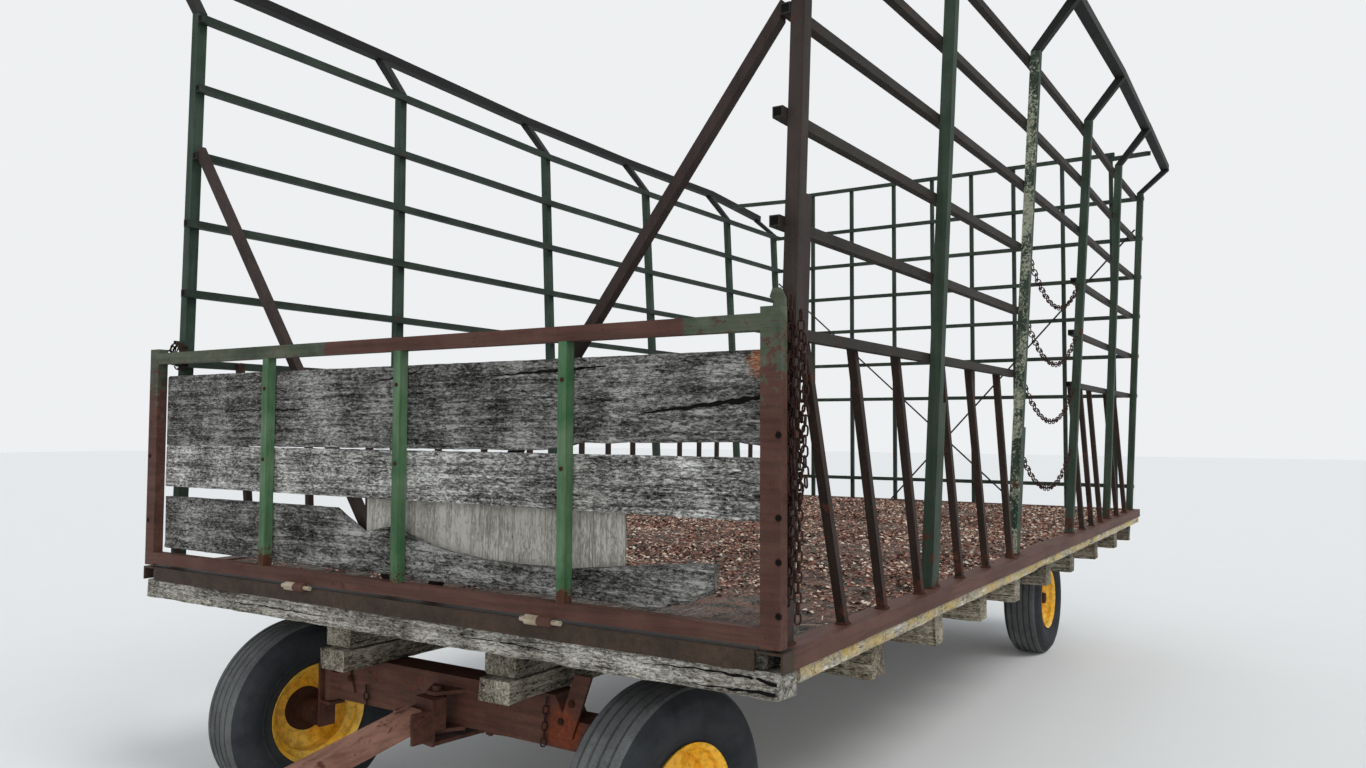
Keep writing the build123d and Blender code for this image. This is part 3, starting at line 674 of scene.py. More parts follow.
GREEN_POST = PaintFinish("weathered posts", tint(34, 54, 42), tint(56, 70, 58), 0.2, Run.ALONG_Z, 0.3,
                         foot=EDGE.z, foot_reach=0.5, foot_rust=0.2, second=tint(40, 31, 29),
                         second_faded=tint(56, 46, 43), second_from=EDGE.x - 0.2, crusted=0.42,
                         crusted_at=EDGE.x - 2.04)
RIGHT_POST = PaintFinish("green right posts", tint(34, 54, 42), tint(54, 70, 60), 0.14, Run.ALONG_Z, 0.2,
                         foot=EDGE.z, foot_reach=0.4, foot_rust=0.3)
LEFT_RAIL = PaintFinish("brown green rails", tint(33, 25, 23), tint(44, 41, 35), 0.2, Run.ALONG_X, 0.2)
RIGHT_RAIL = PaintFinish("dark green rails", tint(26, 42, 34), tint(50, 60, 52), 0.14, Run.ALONG_X)
DARK_RAIL = PaintFinish("near black rails", tint(14, 15, 15), tint(24, 26, 24), 0.1, Run.ALONG_X)
FRAME_PAINT = PaintFinish("brown gate frame", tint(74, 43, 36), tint(88, 58, 49), 0.2, Run.ALONG_Y, 0.3,
                          second=tint(52, 66, 50), second_faded=tint(88, 92, 76), second_axis="Y",
                          second_centre=0.38, second_from=0.72, second_above=EDGE.z + 0.69)
BAR_PAINT = PaintFinish("green gate bars", tint(52, 94, 58), tint(96, 122, 92), 0.1, Run.ALONG_Z, 0.12,
                        foot=EDGE.z + 0.02, foot_reach=0.14, foot_rust=0.8)
SILL_PAINT = PaintFinish("brown edge steel", tint(78, 47, 39), tint(92, 62, 52), 0.16, Run.ALONG_X, 0.16,
                         second=tint(46, 35, 27), second_faded=tint(68, 52, 41), second_from=EDGE.x - 0.07)
HINGE_PAINT = PaintFinish("pale hinge paint", tint(178, 166, 146), tint(150, 132, 110), 0.3, Run.ALONG_Y)
PICKET_PAINT = PaintFinish("dark brown pickets", tint(34, 22, 18), tint(48, 33, 27), 0.25, Run.ALONG_Z,
                           foot=EDGE.z, foot_reach=0.15, foot_rust=0.2)
BRACE_PAINT = PaintFinish("brown braces", tint(38, 27, 25), tint(54, 41, 38), 0.18, Run.ALONG_Z)
REAR_PAINT = PaintFinish("rear wall steel", tint(30, 46, 36), tint(52, 64, 54), 0.16, Run.ALONG_Z)
BEAM_PAINT = PaintFinish("axle beam steel", tint(72, 40, 31), tint(94, 60, 48), 0.24, Run.ALONG_Y,
                         bright_rust=tint(140, 72, 44), patch=(AXLE.x, 0.50, AXLE.z - 0.10), patch_reach=0.09)
TONGUE_PAINT = PaintFinish("tongue steel", tint(122, 84, 70), tint(148, 110, 95), 0.26, Run.ALONG_X, 0.2,
                           tint(70, 44, 36), tint(120, 78, 62))
RIM_PAINT = PaintFinish("yellow rim enamel", tint(255, 186, 40), tint(255, 212, 96), 0.1, gloss=0.42,
                        deep_rust=tint(96, 56, 26), bright_rust=tint(150, 92, 34))
HUB_GREASE = RustAndPaintedShadeFinish("greasy hub iron", tint(84, 60, 46), tint(22, 18, 16))
CHAIN_RUST = RustAndPaintedShadeFinish("rusty chain", tint(66, 48, 44), tint(20, 16, 15), 0.25)
BOLT_RUST = RustAndPaintedShadeFinish("rusty fastenings", tint(84, 54, 42), tint(34, 25, 22))
# Painted shade: a near-black finish for the insides of tube ends, empty holes and cracks, where only shade
# falls; it is no rust.
PAINTED_SHADE_INSIDE = RustAndPaintedShadeFinish("dark tube inside", tint(14, 12, 11), tint(4, 4, 4), 0.0)
TREAD_RUBBER = RubberFinish("tyre tread rubber", tint(58, 60, 62), tint(124, 125, 123), 0.8)
WALL_RUBBER = RubberFinish("tyre sidewall rubber", tint(36, 38, 42), tint(72, 74, 76), 0.6)
LEAF_LITTER = LitterFinish("deck litter", tint(46, 26, 22), tint(172, 120, 100), tint(244, 226, 204))
FLOOR = FloorFinish("studio floor", tint(232, 232, 229))


Face = tuple[int, ...]
Edge = tuple[tuple[float, float], ...]
Crack = tuple[Triple, ...]
AHEAD, UP = Vector((1, 0, 0)), Vector((0, 0, 1))


def turns(count: int) -> np.ndarray:
    """Return evenly spaced angles round a full turn."""
    return np.linspace(0, math.tau, count + 1)[:-1]


class Batch:
    """Collects many small forms and makes one mesh object of them."""

    nut_steps: ClassVar[Edge] = ((1.0, 0.0), (1.0, 0.75), (0.86, 1.0), (0.45, 1.0), (0.40, 1.35))

    def __init__(self) -> None:
        """Start empty."""
        self.points: list[np.ndarray] = []
        self.faces: list[Face] = []
        self.tones: list[float] = []
        self.kinds: list[int] = []
        self.count = 0

    def add(self, points: np.ndarray, faces: Iterable[Face], tone: float = 0.0, kind: int = 0) -> None:
        """Add a form.

        Args:
            points: Its points, one row each.
            faces: Its faces by point number.
            tone: Its own shade, from 0 to 1.
            kind: Which of the piece's materials it takes.
        """
        made = [tuple(i + self.count for i in f) for f in faces]
        self.points.append(np.asarray(points, float))
        self.faces += made
        self.kinds += [kind] * len(made)
        self.tones += [tone] * len(points)
        self.count += len(points)

    def rings(self, rings: np.ndarray, closed: bool = False, capped: bool = True, tone: float = 0.0,
              kind: int = 0) -> None:
        """Add a skin over a row of rings with equal point counts.

        Args:
            rings: Points by ring, then place in the ring.
            closed: Whether the last ring joins the first.
            capped: Whether open ends are filled.
            tone: The form's own shade.
            kind: Which of the piece's materials it takes.
        """
        rows, wide = rings.shape[:2]
        faces: list[Face] = []
        for i in range(rows if closed else rows - 1):
            here, there = i * wide, ((i + 1) % rows) * wide
            for j in range(wide):
                k = (j + 1) % wide
                faces.append((here + j, here + k, there + k, there + j))
        if capped and not closed:
            faces += [tuple(range(wide - 1, -1, -1)), tuple((rows - 1) * wide + j for j in range(wide))]
        self.add(rings.reshape(-1, 3), faces, tone, kind)

    def nut(self, place: Vector, along: Vector, radius: float, height: float, tone: float = 0.3) -> None:
        """Add a chamfered hexagon head standing on a surface.

        Args:
            place: The point that it stands on.
            along: The way it points.
            radius: Half its width over the corners.
            height: Its height.
            tone: Its own shade.
        """
        turned = along.to_track_quat("Z", "Y").to_matrix()
        rings = [[place + turned @ Vector((radius * share * math.cos(a), radius * share * math.sin(a),
                                           height * level)) for a in turns(6)]
                 for share, level in self.nut_steps]
        self.rings(np.array(rings), tone=tone)

    def piece(self, name: str, body: str, slot: str, finishes: list[Finish], crease: float = 35.0,
              replaces: str | None = None, relief: float = 0.003) -> None:
        """Make the object.

        Args:
            name: The piece's name.
            body: The body that it rides on.
            slot: The record's material slot that it stands in; not used.
            finishes: Its finishes, in the order of the kinds.
            crease: The angle in degrees above which an edge stays sharp.
            replaces: The node that it stands for, if any.
            relief: The bump's depth in metres.
        """
        mesh = bpy.data.meshes.new(name)
        mesh.from_pydata(np.concatenate(self.points).tolist(), [], self.faces)
        board = mesh.attributes.new("board", "FLOAT", "POINT")
        board.data.foreach_set("value", np.array(self.tones, np.float32))
        for finish in finishes:
            mesh.materials.append(finish.material(relief))
        mesh.polygons.foreach_set("material_index", np.array(self.kinds, np.int32))
        mesh.polygons.foreach_set("use_smooth", np.ones(len(self.faces), bool))
        mesh.set_sharp_from_angle(angle=math.radians(crease))
        made = bpy.data.objects.new(name, mesh)
        bpy.context.scene.collection.objects.link(made)
        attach(made, body)
        if replaces:
            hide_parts(replaces)
        log.info("piece %s: %d faces", name, len(self.faces))


def dress(finish: Finish, *nodes: str, relief: float = 0.003) -> None:
    """Give some nodes of the frame one finish.

    Args:
        finish: The finish.
        *nodes: The nodes' names.
        relief: The bump's depth in metres.
    """
    for node in nodes:
        mesh = frame["nodes"][node].data
        mesh.materials.clear()
        mesh.materials.append(finish.material(relief))


def solids_of(node: str) -> list[np.ndarray]:
    """Split a node's mesh into its separate solids.

    Args:
        node: The node's name.

    Returns:
        The points of each solid, one row each.
    """
    mesh = frame["nodes"][node].data
    points = np.array([v.co for v in mesh.vertices], float)
    keys: dict[tuple, int] = {}
    same = [keys.setdefault(tuple(np.round(p, 5)), i) for i, p in enumerate(points)]
    root = list(range(len(points)))

    def top(i: int) -> int:
        """Follow a point to the one that stands for its solid.

        Args:
            i: A point's number.

        Returns:
            The number of the point that stands for its solid.
        """
        while root[i] != i:
            root[i] = root[root[i]]
            i = root[i]
        return i

    for edge in mesh.edges:
        a, b = edge.vertices
        root[top(same[a])] = top(same[b])
    groups: dict[int, list[int]] = {}
    for i in keys.values():
        groups.setdefault(top(i), []).append(i)
    return [points[g] for _, g in sorted(groups.items())]


def wander(x: float, y: float, z: float = 0.0) -> float:
    """Return smooth seeded noise from about -1 to 1 at a place."""
    return noise.noise(Vector((x, y, z)))


@dataclass
class WornBoard:
    """A board or beam with rounded, nicked edges and ragged ends, kept inside its straight box."""

    low: np.ndarray
    high: np.ndarray
    axis: int
    round_: float = 0.006
    nick: float = 0.006
    step: float = 0.045
    ragged: float = 0.012
    seed: float = 0.0
    shade: float | None = None
    top: Callable[[float], float] | None = None
    bottom: Callable[[float], float] | None = None

    def section(self, at: float) -> list[tuple[float, float]]:
        """Work out the section at a place along the board.

        Args:
            at: The place along the board.

        Returns:
            Two points for each corner, across the board.
        """
        first, second = [i for i in range(3) if i != self.axis]
        a0, a1 = self.low[first], self.high[first]
        b0 = self.bottom(at) if self.bottom else self.low[second]
        b1 = self.top(at) if self.top else self.high[second]
        corners = ((a0, b0, 1, 1), (a1, b0, -1, 1), (a1, b1, -1, -1), (a0, b1, 1, -1))
        points = []
        for index, (a, b, in_a, in_b) in enumerate(corners):
            rough = wander(at * 9.0, index * 5.3, self.seed)
            bite = max(0.0, wander(at * 3.1, index * 2.7, self.seed + 40.0) - 0.28) * 4.0
            soft = self.round_ * (1.0 + 0.6 * rough) + self.nick * bite
            fine = 0.35 * self.nick * (wander(at * 31.0, index * 1.9, self.seed + 9.0) + 1.0)
            pair = [(a + in_a * fine, b + in_b * soft), (a + in_a * soft, b + in_b * fine)]
            points += pair[::-1] if index % 2 else pair
        return points

    def add_to(self, batch: Batch, kind: int = 0) -> None:
        """Add the board to a batch, with its own shade.

        Args:
            batch: Where it is collected.
            kind: Which of the piece's materials it takes.
        """
        start, end = self.low[self.axis], self.high[self.axis]
        count = max(3, int((end - start) / self.step))
        first, second = [i for i in range(3) if i != self.axis]
        rings = []
        for i in range(count + 1):
            at = start + (end - start) * i / count
            ring = []
            for index, (a, b) in enumerate(self.section(at)):
                point = np.zeros(3)
                point[self.axis], point[first], point[second] = at, a, b
                if i in (0, count):
                    inward = self.ragged * (0.5 + 0.5 * wander(a * 40.0, b * 40.0, self.seed + index))
                    point[self.axis] += inward if i == 0 else -inward
                ring.append(point)
            rings.append(ring[::-1] if self.axis == 1 else ring)
        shade = (math.sin(self.seed * 12.9898) * 43758.5453) % 1.0 if self.shade is None else self.shade
        batch.rings(np.array(rings), tone=shade, kind=kind)


def crack(batch: Batch, board: WornBoard, path: Crack, kind: int = 0) -> None:
    """Lay a crack along the front face of a board that runs across the wagon, as a near-black strip just
    proud of the face: painted shade for the crack's depth.

    Args:
        batch: Where it is collected.
        board: The board that has split.
        path: Places across the wagon, heights over the sill and half widths, in metres.
        kind: Which of the piece's materials it takes.
    """
    step, proud, ridge, narrowest = 0.012, 0.0006, 0.0004, 0.0006
    places, heights, halves = (np.array(row) for row in zip(*path))
    rows = []
    for y in np.arange(places[0], places[-1], step):
        level = EDGE.z + float(np.interp(y, places, heights)) + 0.004 * wander(y * 26.0, 1.0, 6.0)
        half = max(narrowest, float(np.interp(y, places, halves)) * (0.7 + 0.5 * wander(y * 40.0, 3.0, 1.0)))
        (x0, z0), (x1, z1) = board.section(y)[3:5]
        x = float(np.interp(level, (z0, z1), (x0, x1))) + proud
        rows.append([(x, y, level - half), (x + ridge, y, level), (x, y, level + half)])
    faces = [(i * 3 + j, i * 3 + 3 + j, i * 3 + 4 + j, i * 3 + 1 + j)
             for i in range(len(rows) - 1) for j in (0, 1)]
    batch.add(np.array(rows).reshape(-1, 3), faces, kind=kind)


class Assembly:
    """A part of the wagon that builds its own pieces and dresses the frame's nodes."""

    title = "assembly"

    def build(self) -> None:
        """Make the pieces that the frame lacks."""

    def dress(self) -> None:
        """Give the frame's nodes their finishes."""

    def make(self) -> None:
        """Build and dress, and report it."""
        self.build()
        self.dress()
        log.info("%s done", self.title)


@dataclass
class Timberwork(Assembly):
    """Deck planks, edge timbers, joists and stringers, with worn edges."""

    title = "timberwork"
    beam_cracks: tuple[Crack, ...] = (
        ((0.98, -0.074, 0.001), (1.16, -0.066, 0.003), (1.29, -0.068, 0.005), (1.38, -0.078, 0.007)),
        ((1.12, -0.108, 0.001), (1.24, -0.103, 0.004), (1.38, -0.101, 0.007)),
        ((0.30, -0.082, 0.001), (0.48, -0.078, 0.003), (0.70, -0.084, 0.001)),
        ((-0.90, -0.090, 0.001), (-0.60, -0.084, 0.003), (-0.32, -0.088, 0.001)))

    def build(self) -> None:
        """Replace the straight timbers by worn ones; those that lie the other way take the second finish."""
        for node, axis, pick in (("deck_planks", 0, [DECK_WOOD]),
                                 ("edge_timbers", 0, [SIDE_WOOD, BEAM_WOOD, PAINTED_SHADE_INSIDE]),
                                 ("cross_timbers", 1, [JOIST_WOOD, STRINGER_WOOD]),
                                 ("stringers", 0, [STRINGER_WOOD])):
            batch = Batch()
            for index, solid in enumerate(solids_of(node)):
                low, high = solid.min(0), solid.max(0)
                along = int(high[1] - low[1] > high[0] - low[0])
                kind = int(len(pick) > 1 and along != axis)
                board = WornBoard(low, high, along, seed=index * 3.7 + len(node),
                                  ragged=0.02 if along else 0.012,
                                  nick=0.004 if node == "deck_planks" else 0.009)
                board.add_to(batch, kind)
                if node == "edge_timbers" and kind == 1 and high[0] > 0:
                    # The cracks take the third finish, the near-black painted shade.
                    for path in self.beam_cracks:
                        crack(batch, board, path, 2)
            batch.piece(f"worn_{node}", "wagon", "timber", pick, replaces=node, relief=0.004)


@dataclass
class DeckLitter(Assembly):
    """Leaf crumbs, chaff and straw that lie on the planks."""

    title = "deck litter"
    crumbs: int = 56000
    straws: int = 700
    fringe: int = 2600
    seed: int = 7
    rear_margin: float = 0.05
    front_margin: float = 0.08
    side_margin: float = 0.01
    crumb_sizes: tuple[float, float] = (0.004, 0.012)
    fringe_sizes: tuple[float, float] = (0.003, 0.008)
    straw_lengths: tuple[float, float] = (0.02, 0.07)
    swept_back: float = 0.55
    swept_fade: float = 0.3
    bare_back: float = 0.20
    bare_in: float = 0.45
    bare_reach: float = 0.62
    straw_half: float = 0.0012
    straw_rear: float = 0.1
    straw_front: float = 0.2
    straw_side: float = 0.05
    straw_start: float = 0.002
    straw_end: float = 0.004
    fringe_front: float = 0.03
    fringe_in: float = 0.006
    fringe_spread: float = 0.012
    tip_lift: float = 0.0006
    side_lift: float = 0.0008

    def crumb(self, batch: Batch, pick: random.Random, place: Vector, size: float, tone: float) -> None:
        """Lay one curled crumb down.

        Args:
            batch: Where it is collected.
            pick: The seeded source of its shape.
            place: The point that it lies on.
            size: Half its length.
            tone: Its own shade.
        """
        turn = pick.uniform(0, math.tau)
        c, s = math.cos(turn) * size, math.sin(turn) * size
        lift = pick.uniform(0.1, 0.9) * size
        wide = pick.uniform(0.4, 0.8)
        x, y, z = place
        points = [(x - c, y - s, z + self.tip_lift), (x + s * wide, y - c * wide, z + lift),
                  (x + c, y + s, z + lift * pick.uniform(0.1, 0.8)),
                  (x - s * wide, y + c * wide, z + self.side_lift)]
        batch.add(np.array(points), [(0, 1, 2, 3)], tone)

    def build(self) -> None:
        """Scatter crumbs and straws in one mesh, thick along the left edge, thin in the front corner."""
        pick = random.Random(self.seed)
        low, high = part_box("deck_planks")
        batch = Batch()
        made = 0
        while made < self.crumbs:
            x = pick.uniform(low.x + self.rear_margin, high.x - self.front_margin)
            y = pick.uniform(low.y + self.side_margin, high.y - self.side_margin)
            swept = max(0.0, (x - high.x + self.swept_back) / self.swept_fade)
            away = math.hypot(x - high.x + self.bare_back, 0.7 * (y - high.y + self.bare_in))
            swept += 3.0 * max(0.0, 1.0 - away / self.bare_reach)
            heaped = wander(x * 1.7, y * 1.7, 3.0) + 0.8 * wander(x * 8.0, y * 8.0, 5.0)
            if heaped < pick.uniform(-0.9, 0.45) + swept:
                continue
            tone = min(1.0, max(0.0, pick.gauss(0.55 + 0.25 * wander(x * 3.0, y * 3.0, 9.0), 0.28)))
            self.crumb(batch, pick, Vector((x, y, high.z)), pick.uniform(*self.crumb_sizes), tone)
            made += 1
        for _ in range(self.fringe):
            x = pick.uniform(low.x + self.rear_margin, high.x - self.fringe_front)
            y = high.y - self.fringe_in - abs(pick.gauss(0.0, self.fringe_spread))
            if wander(x * 2.3, 4.0, 1.0) > pick.uniform(-0.7, 0.3):
                self.crumb(batch, pick, Vector((x, y, high.z)), pick.uniform(*self.fringe_sizes),
                           pick.uniform(0.55, 1.0))
        for _ in range(self.straws):
            x = pick.uniform(low.x + self.straw_rear, high.x - self.straw_front)
            y = pick.uniform(low.y + self.straw_side, high.y - self.straw_side)
            turn, reach = pick.uniform(0, math.tau), pick.uniform(*self.straw_lengths)
            side = Vector((-math.sin(turn), math.cos(turn), 0)) * self.straw_half
            start = Vector((x, y, high.z + self.straw_start))
            end = Vector((x + math.cos(turn) * reach, y + math.sin(turn) * reach,
                          high.z + self.straw_end))
            batch.add(np.array([start - side, end - side, end + side, start + side]), [(0, 1, 2, 3)],
                      pick.uniform(0.85, 1.0))
        batch.piece("deck_litter", "wagon", "timber", [LEAF_LITTER], relief=0.001)


@dataclass
class SideWalls(Assembly):
    """Posts, rails, pickets, flares and braces, with weld beads and open tube ends."""

    title = "side walls"
    bead: float = 0.006
    bead_steps: int = 24
    bead_sides: int = 5
    bead_off: float = 0.001
    picket_half: float = 0.0135
    lift: float = 0.001
    wall: float = 0.004
    lip: float = 0.0012
    sunk: float = 0.0008
    rim_in: float = 0.0005
    overlap: float = 0.0002
    end_depth: float = 0.002
    post_foot: float = 0.004
    picket_foot: float = 0.008
    off_sill: float = 0.01

    def beads(self, batch: Batch, place: Vector, half: float, seed: float) -> None:
        """Run an uneven weld bead round the square foot of a post.

        Args:
            batch: Where it is collected.
            place: The middle of the foot.
            half: Half the foot's width.
            seed: What makes it uneven in its own way.
        """
        rows = []
        for i in range(self.bead_steps):
            turn = math.tau * i / self.bead_steps
            reach = half / max(abs(math.cos(turn)), abs(math.sin(turn)))
            centre = place + Vector((math.cos(turn) * reach, math.sin(turn) * reach, 0))
            size = self.bead * (1.0 + 0.4 * wander(turn * 4.0, seed, 1.0))
            out = Vector((math.cos(turn), math.sin(turn), 0))
            rows.append([centre + out * size * math.cos(a) + Vector((0, 0, size * math.sin(a)))
                         for a in turns(self.bead_sides)])
        batch.rings(np.array(rows), closed=True, tone=0.2)

    def tube_end(self, batch: Batch, place: Vector, out: Vector, half: float) -> None:
        """Sink a thin wall into the end of a square tube, with a near-black sheet inside it as painted shade
        for the hollow.

        Args:
            batch: Where it is collected.
            place: The middle of the end.
            out: The way that it faces.
            half: Half the tube's width.
        """
        side = out.cross(UP).normalized()
        up = side.cross(out).normalized()
        inner = half - self.wall

        def ring(size: float, level: float) -> list[Vector]:
            """Return the corners of a square ring at a level off the end."""
            return [place + out * level + side * size * a + up * size * b
                    for a, b in ((-1, -1), (1, -1), (1, 1), (-1, 1))]

        rim = [ring(half - self.rim_in, 0.0), ring(half - self.rim_in, self.lip), ring(inner, self.lip)]
        batch.rings(np.array(rim), capped=False)
        # A flat sheet just inside the wall, painted near black as the shade in the tube's hollow.
        batch.add(np.array(ring(inner + self.overlap, self.sunk)), [(0, 1, 2, 3)], kind=1)

    def build(self) -> None:
        """Weld the post feet, and open the ends of the rails."""
        beads, ends = Batch(), Batch()
        for node in ("left_posts", "right_posts"):
            for index, solid in enumerate(solids_of(node)):
                low = solid.min(0)
                if low[2] > EDGE.z + self.off_sill:
                    continue
                foot = solid[solid[:, 2] < low[2] + self.post_foot]
                centre = Vector(foot.mean(0))
                half = (foot[:, 0].max() - foot[:, 0].min()) / 2
                place = Vector((centre.x, centre.y, EDGE.z + self.lift))
                self.beads(beads, place, half + self.bead_off, index * 1.7)
        for solid in solids_of("pickets"):
            low = solid.min(0)
            foot = solid[solid[:, 2] < low[2] + self.picket_foot].mean(0)
            self.beads(beads, Vector((foot[0], foot[1], EDGE.z + self.lift)), self.picket_half, low[0] * 5.0)
        beads.piece("weld_beads", "wagon", "brown_steel", [BOLT_RUST], crease=80.0)
        for node in ("left_rails", "right_rails"):
            for solid in solids_of(node):
                for x, out in ((solid[:, 0].max(), AHEAD), (solid[:, 0].min(), -AHEAD)):
                    near = solid[abs(solid[:, 0] - x) < self.end_depth]
                    centre = near.mean(0)
                    half = (near[:, 2].max() - near[:, 2].min()) / 2
                    self.tube_end(ends, Vector((x, centre[1], centre[2])), out, half)
        # The second finish is painted shade for the sheets inside the ends.
        ends.piece("open_tube_ends", "wagon", "brown_steel", [LEFT_RAIL, PAINTED_SHADE_INSIDE])

    def dress(self) -> None:
        """Paint the walls."""
        dress(GREEN_POST, "left_posts")
        dress(RIGHT_POST, "right_posts")
        dress(LEFT_RAIL, "left_rails")
        dress(RIGHT_RAIL, "right_rails", "corner_rails")
        dress(DARK_RAIL, "flare_arms", "flare_rails")
        dress(PICKET_PAINT, "pickets")
        dress(BRACE_PAINT, "braces")
        dress(REAR_PAINT, "rear_rails", "rear_bars")
        dress(SILL_PAINT, "edge_angles")
        dress(BEAM_PAINT, "bolster_stakes")


@dataclass
class FrontGate(Assembly):
    """The folding front gate: painted frame and bars in front of weathered boards."""

    title = "front gate"
    top_edge: Edge = (
        (-1.334, 0.275), (-0.33, 0.275), (-0.18, 0.200), (-0.06, 0.225), (0.18, 0.172), (0.35, 0.150),
        (0.50, 0.146), (0.695, 0.148), (0.89, 0.170), (0.985, 0.182), (1.13, 0.193), (1.18, 0.200))
    bottom_edge: Edge = ((-1.334, 0.070), (1.000, 0.062), (1.09, 0.080), (1.175, 0.120))
    upper_foot: Edge = ((-1.334, 0.470), (0.60, 0.478), (0.72, 0.500), (1.25, 0.508), (1.334, 0.496))
    cracks: tuple[Crack, ...] = (
        ((0.93, 0.582, 0.001), (1.02, 0.592, 0.005), (1.16, 0.606, 0.008), (1.27, 0.618, 0.011),
         (1.33, 0.624, 0.006)),
        ((0.36, 0.698, 0.001), (0.50, 0.704, 0.004), (0.66, 0.709, 0.006), (0.84, 0.718, 0.002)),
        ((-0.16, 0.690, 0.001), (-0.05, 0.702, 0.004), (0.04, 0.716, 0.005), (0.10, 0.728, 0.001)),
        ((-0.95, 0.600, 0.001), (-0.80, 0.606, 0.003), (-0.62, 0.604, 0.004), (-0.45, 0.610, 0.001)))
    holes: Edge = ((1.385, 0.529), (1.385, 0.327), (1.385, 0.220), (1.385, 0.090), (-1.375, 0.430),
                   (-1.375, 0.180))
    hole_radius: float = 0.0085
    hole_sides: int = 12
    hole_rim: Edge = ((1.25, 0.0), (1.1, 0.0012), (0.9, 0.0008))
    hole_share: float = 0.94
    hole_level: float = 0.0009
    patch_right: float = -0.5
    broken_left: float = 1.25
    bolt_heights: tuple[float, ...] = (0.43, 0.68)
    bolt_radius: float = 0.007
    bolt_height: float = 0.004
    upper_from: float = 0.6
    lower_below: float = 0.4

    def hole(self, batch: Batch, place: Vector) -> None:
        """Show an empty bolt hole: a worn rim round a near-black disc, painted shade for the hole's depth.

        Args:
            batch: Where it is collected.
            place: Its middle.
        """

        def ring(share: float, out: float) -> list[Vector]:
            """Return a ring in the gate's plane."""
            size = self.hole_radius * share
            return [place + Vector((out, size * math.cos(a), size * math.sin(a)))
                    for a in turns(self.hole_sides)]

        batch.rings(np.array([ring(*step) for step in self.hole_rim]), capped=False, kind=1)
        # The disc is painted shade inside the hole.
        batch.add(np.array(ring(self.hole_share, self.hole_level)), [tuple(range(self.hole_sides))])

    def level(self, edge: Edge, rough: float = 0.0) -> Callable[[float], float]:
        """Return what gives an edge's height at a place across the gate."""
        places, heights = zip(*edge)
        return lambda y: EDGE.z + float(np.interp(y, places, heights)) + rough * wander(y * 14.0, 5.0, 2.0)

    def build(self) -> None:
        """Replace the boards by worn ones, the lowest one broken, and add cracks, bolts and empty holes."""
        batch, bolts, dark = Batch(), Batch(), Batch()
        for index, solid in enumerate(solids_of("gate_boards")):
            low, high = solid.min(0), solid.max(0)
            patch = low[1] > self.patch_right
            above = high[2] - EDGE.z
            upper, lower = above > self.upper_from, above <= self.lower_below
            board = WornBoard(low, high, 1, seed=index * 5.1 + 2.0, nick=0.010 if lower else 0.004,
                              round_=0.003, step=0.02, ragged=0.01,
                              shade=0.95 if upper else 1.0 if lower else 0.0)
            if upper:
                board.bottom = self.level(self.upper_foot, 0.003)
            if high[1] < self.broken_left and not patch:
                board.top, board.bottom = self.level(self.top_edge), self.level(self.bottom_edge)
            board.add_to(batch, int(patch))
            for path in self.cracks if upper else ():
                crack(dark, board, path)
        batch.piece("worn_gate_boards", "gate", "gate_wood", [GATE_WOOD, PATCH_WOOD], replaces="gate_boards",
                    relief=0.005)
        for bar in solids_of("gate_bars"):
            low, high = bar.min(0), bar.max(0)
            for height in self.bolt_heights:
                bolts.nut(Vector((high[0], (low[1] + high[1]) / 2, EDGE.z + height)), AHEAD, self.bolt_radius,
                          self.bolt_height)
        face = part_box("gate_bars")[1].x
        for y, height in self.holes:
            self.hole(dark, Vector((face, y, EDGE.z + height)))
        # The crack strips and the holes' discs take the near-black painted shade; the holes' rims are rust.
        dark.piece("gate_cracks", "gate", "gate_wood", [PAINTED_SHADE_INSIDE, BOLT_RUST])
        bolts.piece("gate_bolts", "gate", "gate_wood", [BOLT_RUST])

    def dress(self) -> None:
        """Paint the frame, bars and hinges."""
        dress(FRAME_PAINT, "gate_frame")
        dress(BAR_PAINT, "gate_bars")
        dress(HINGE_PAINT, "deck_hinges")


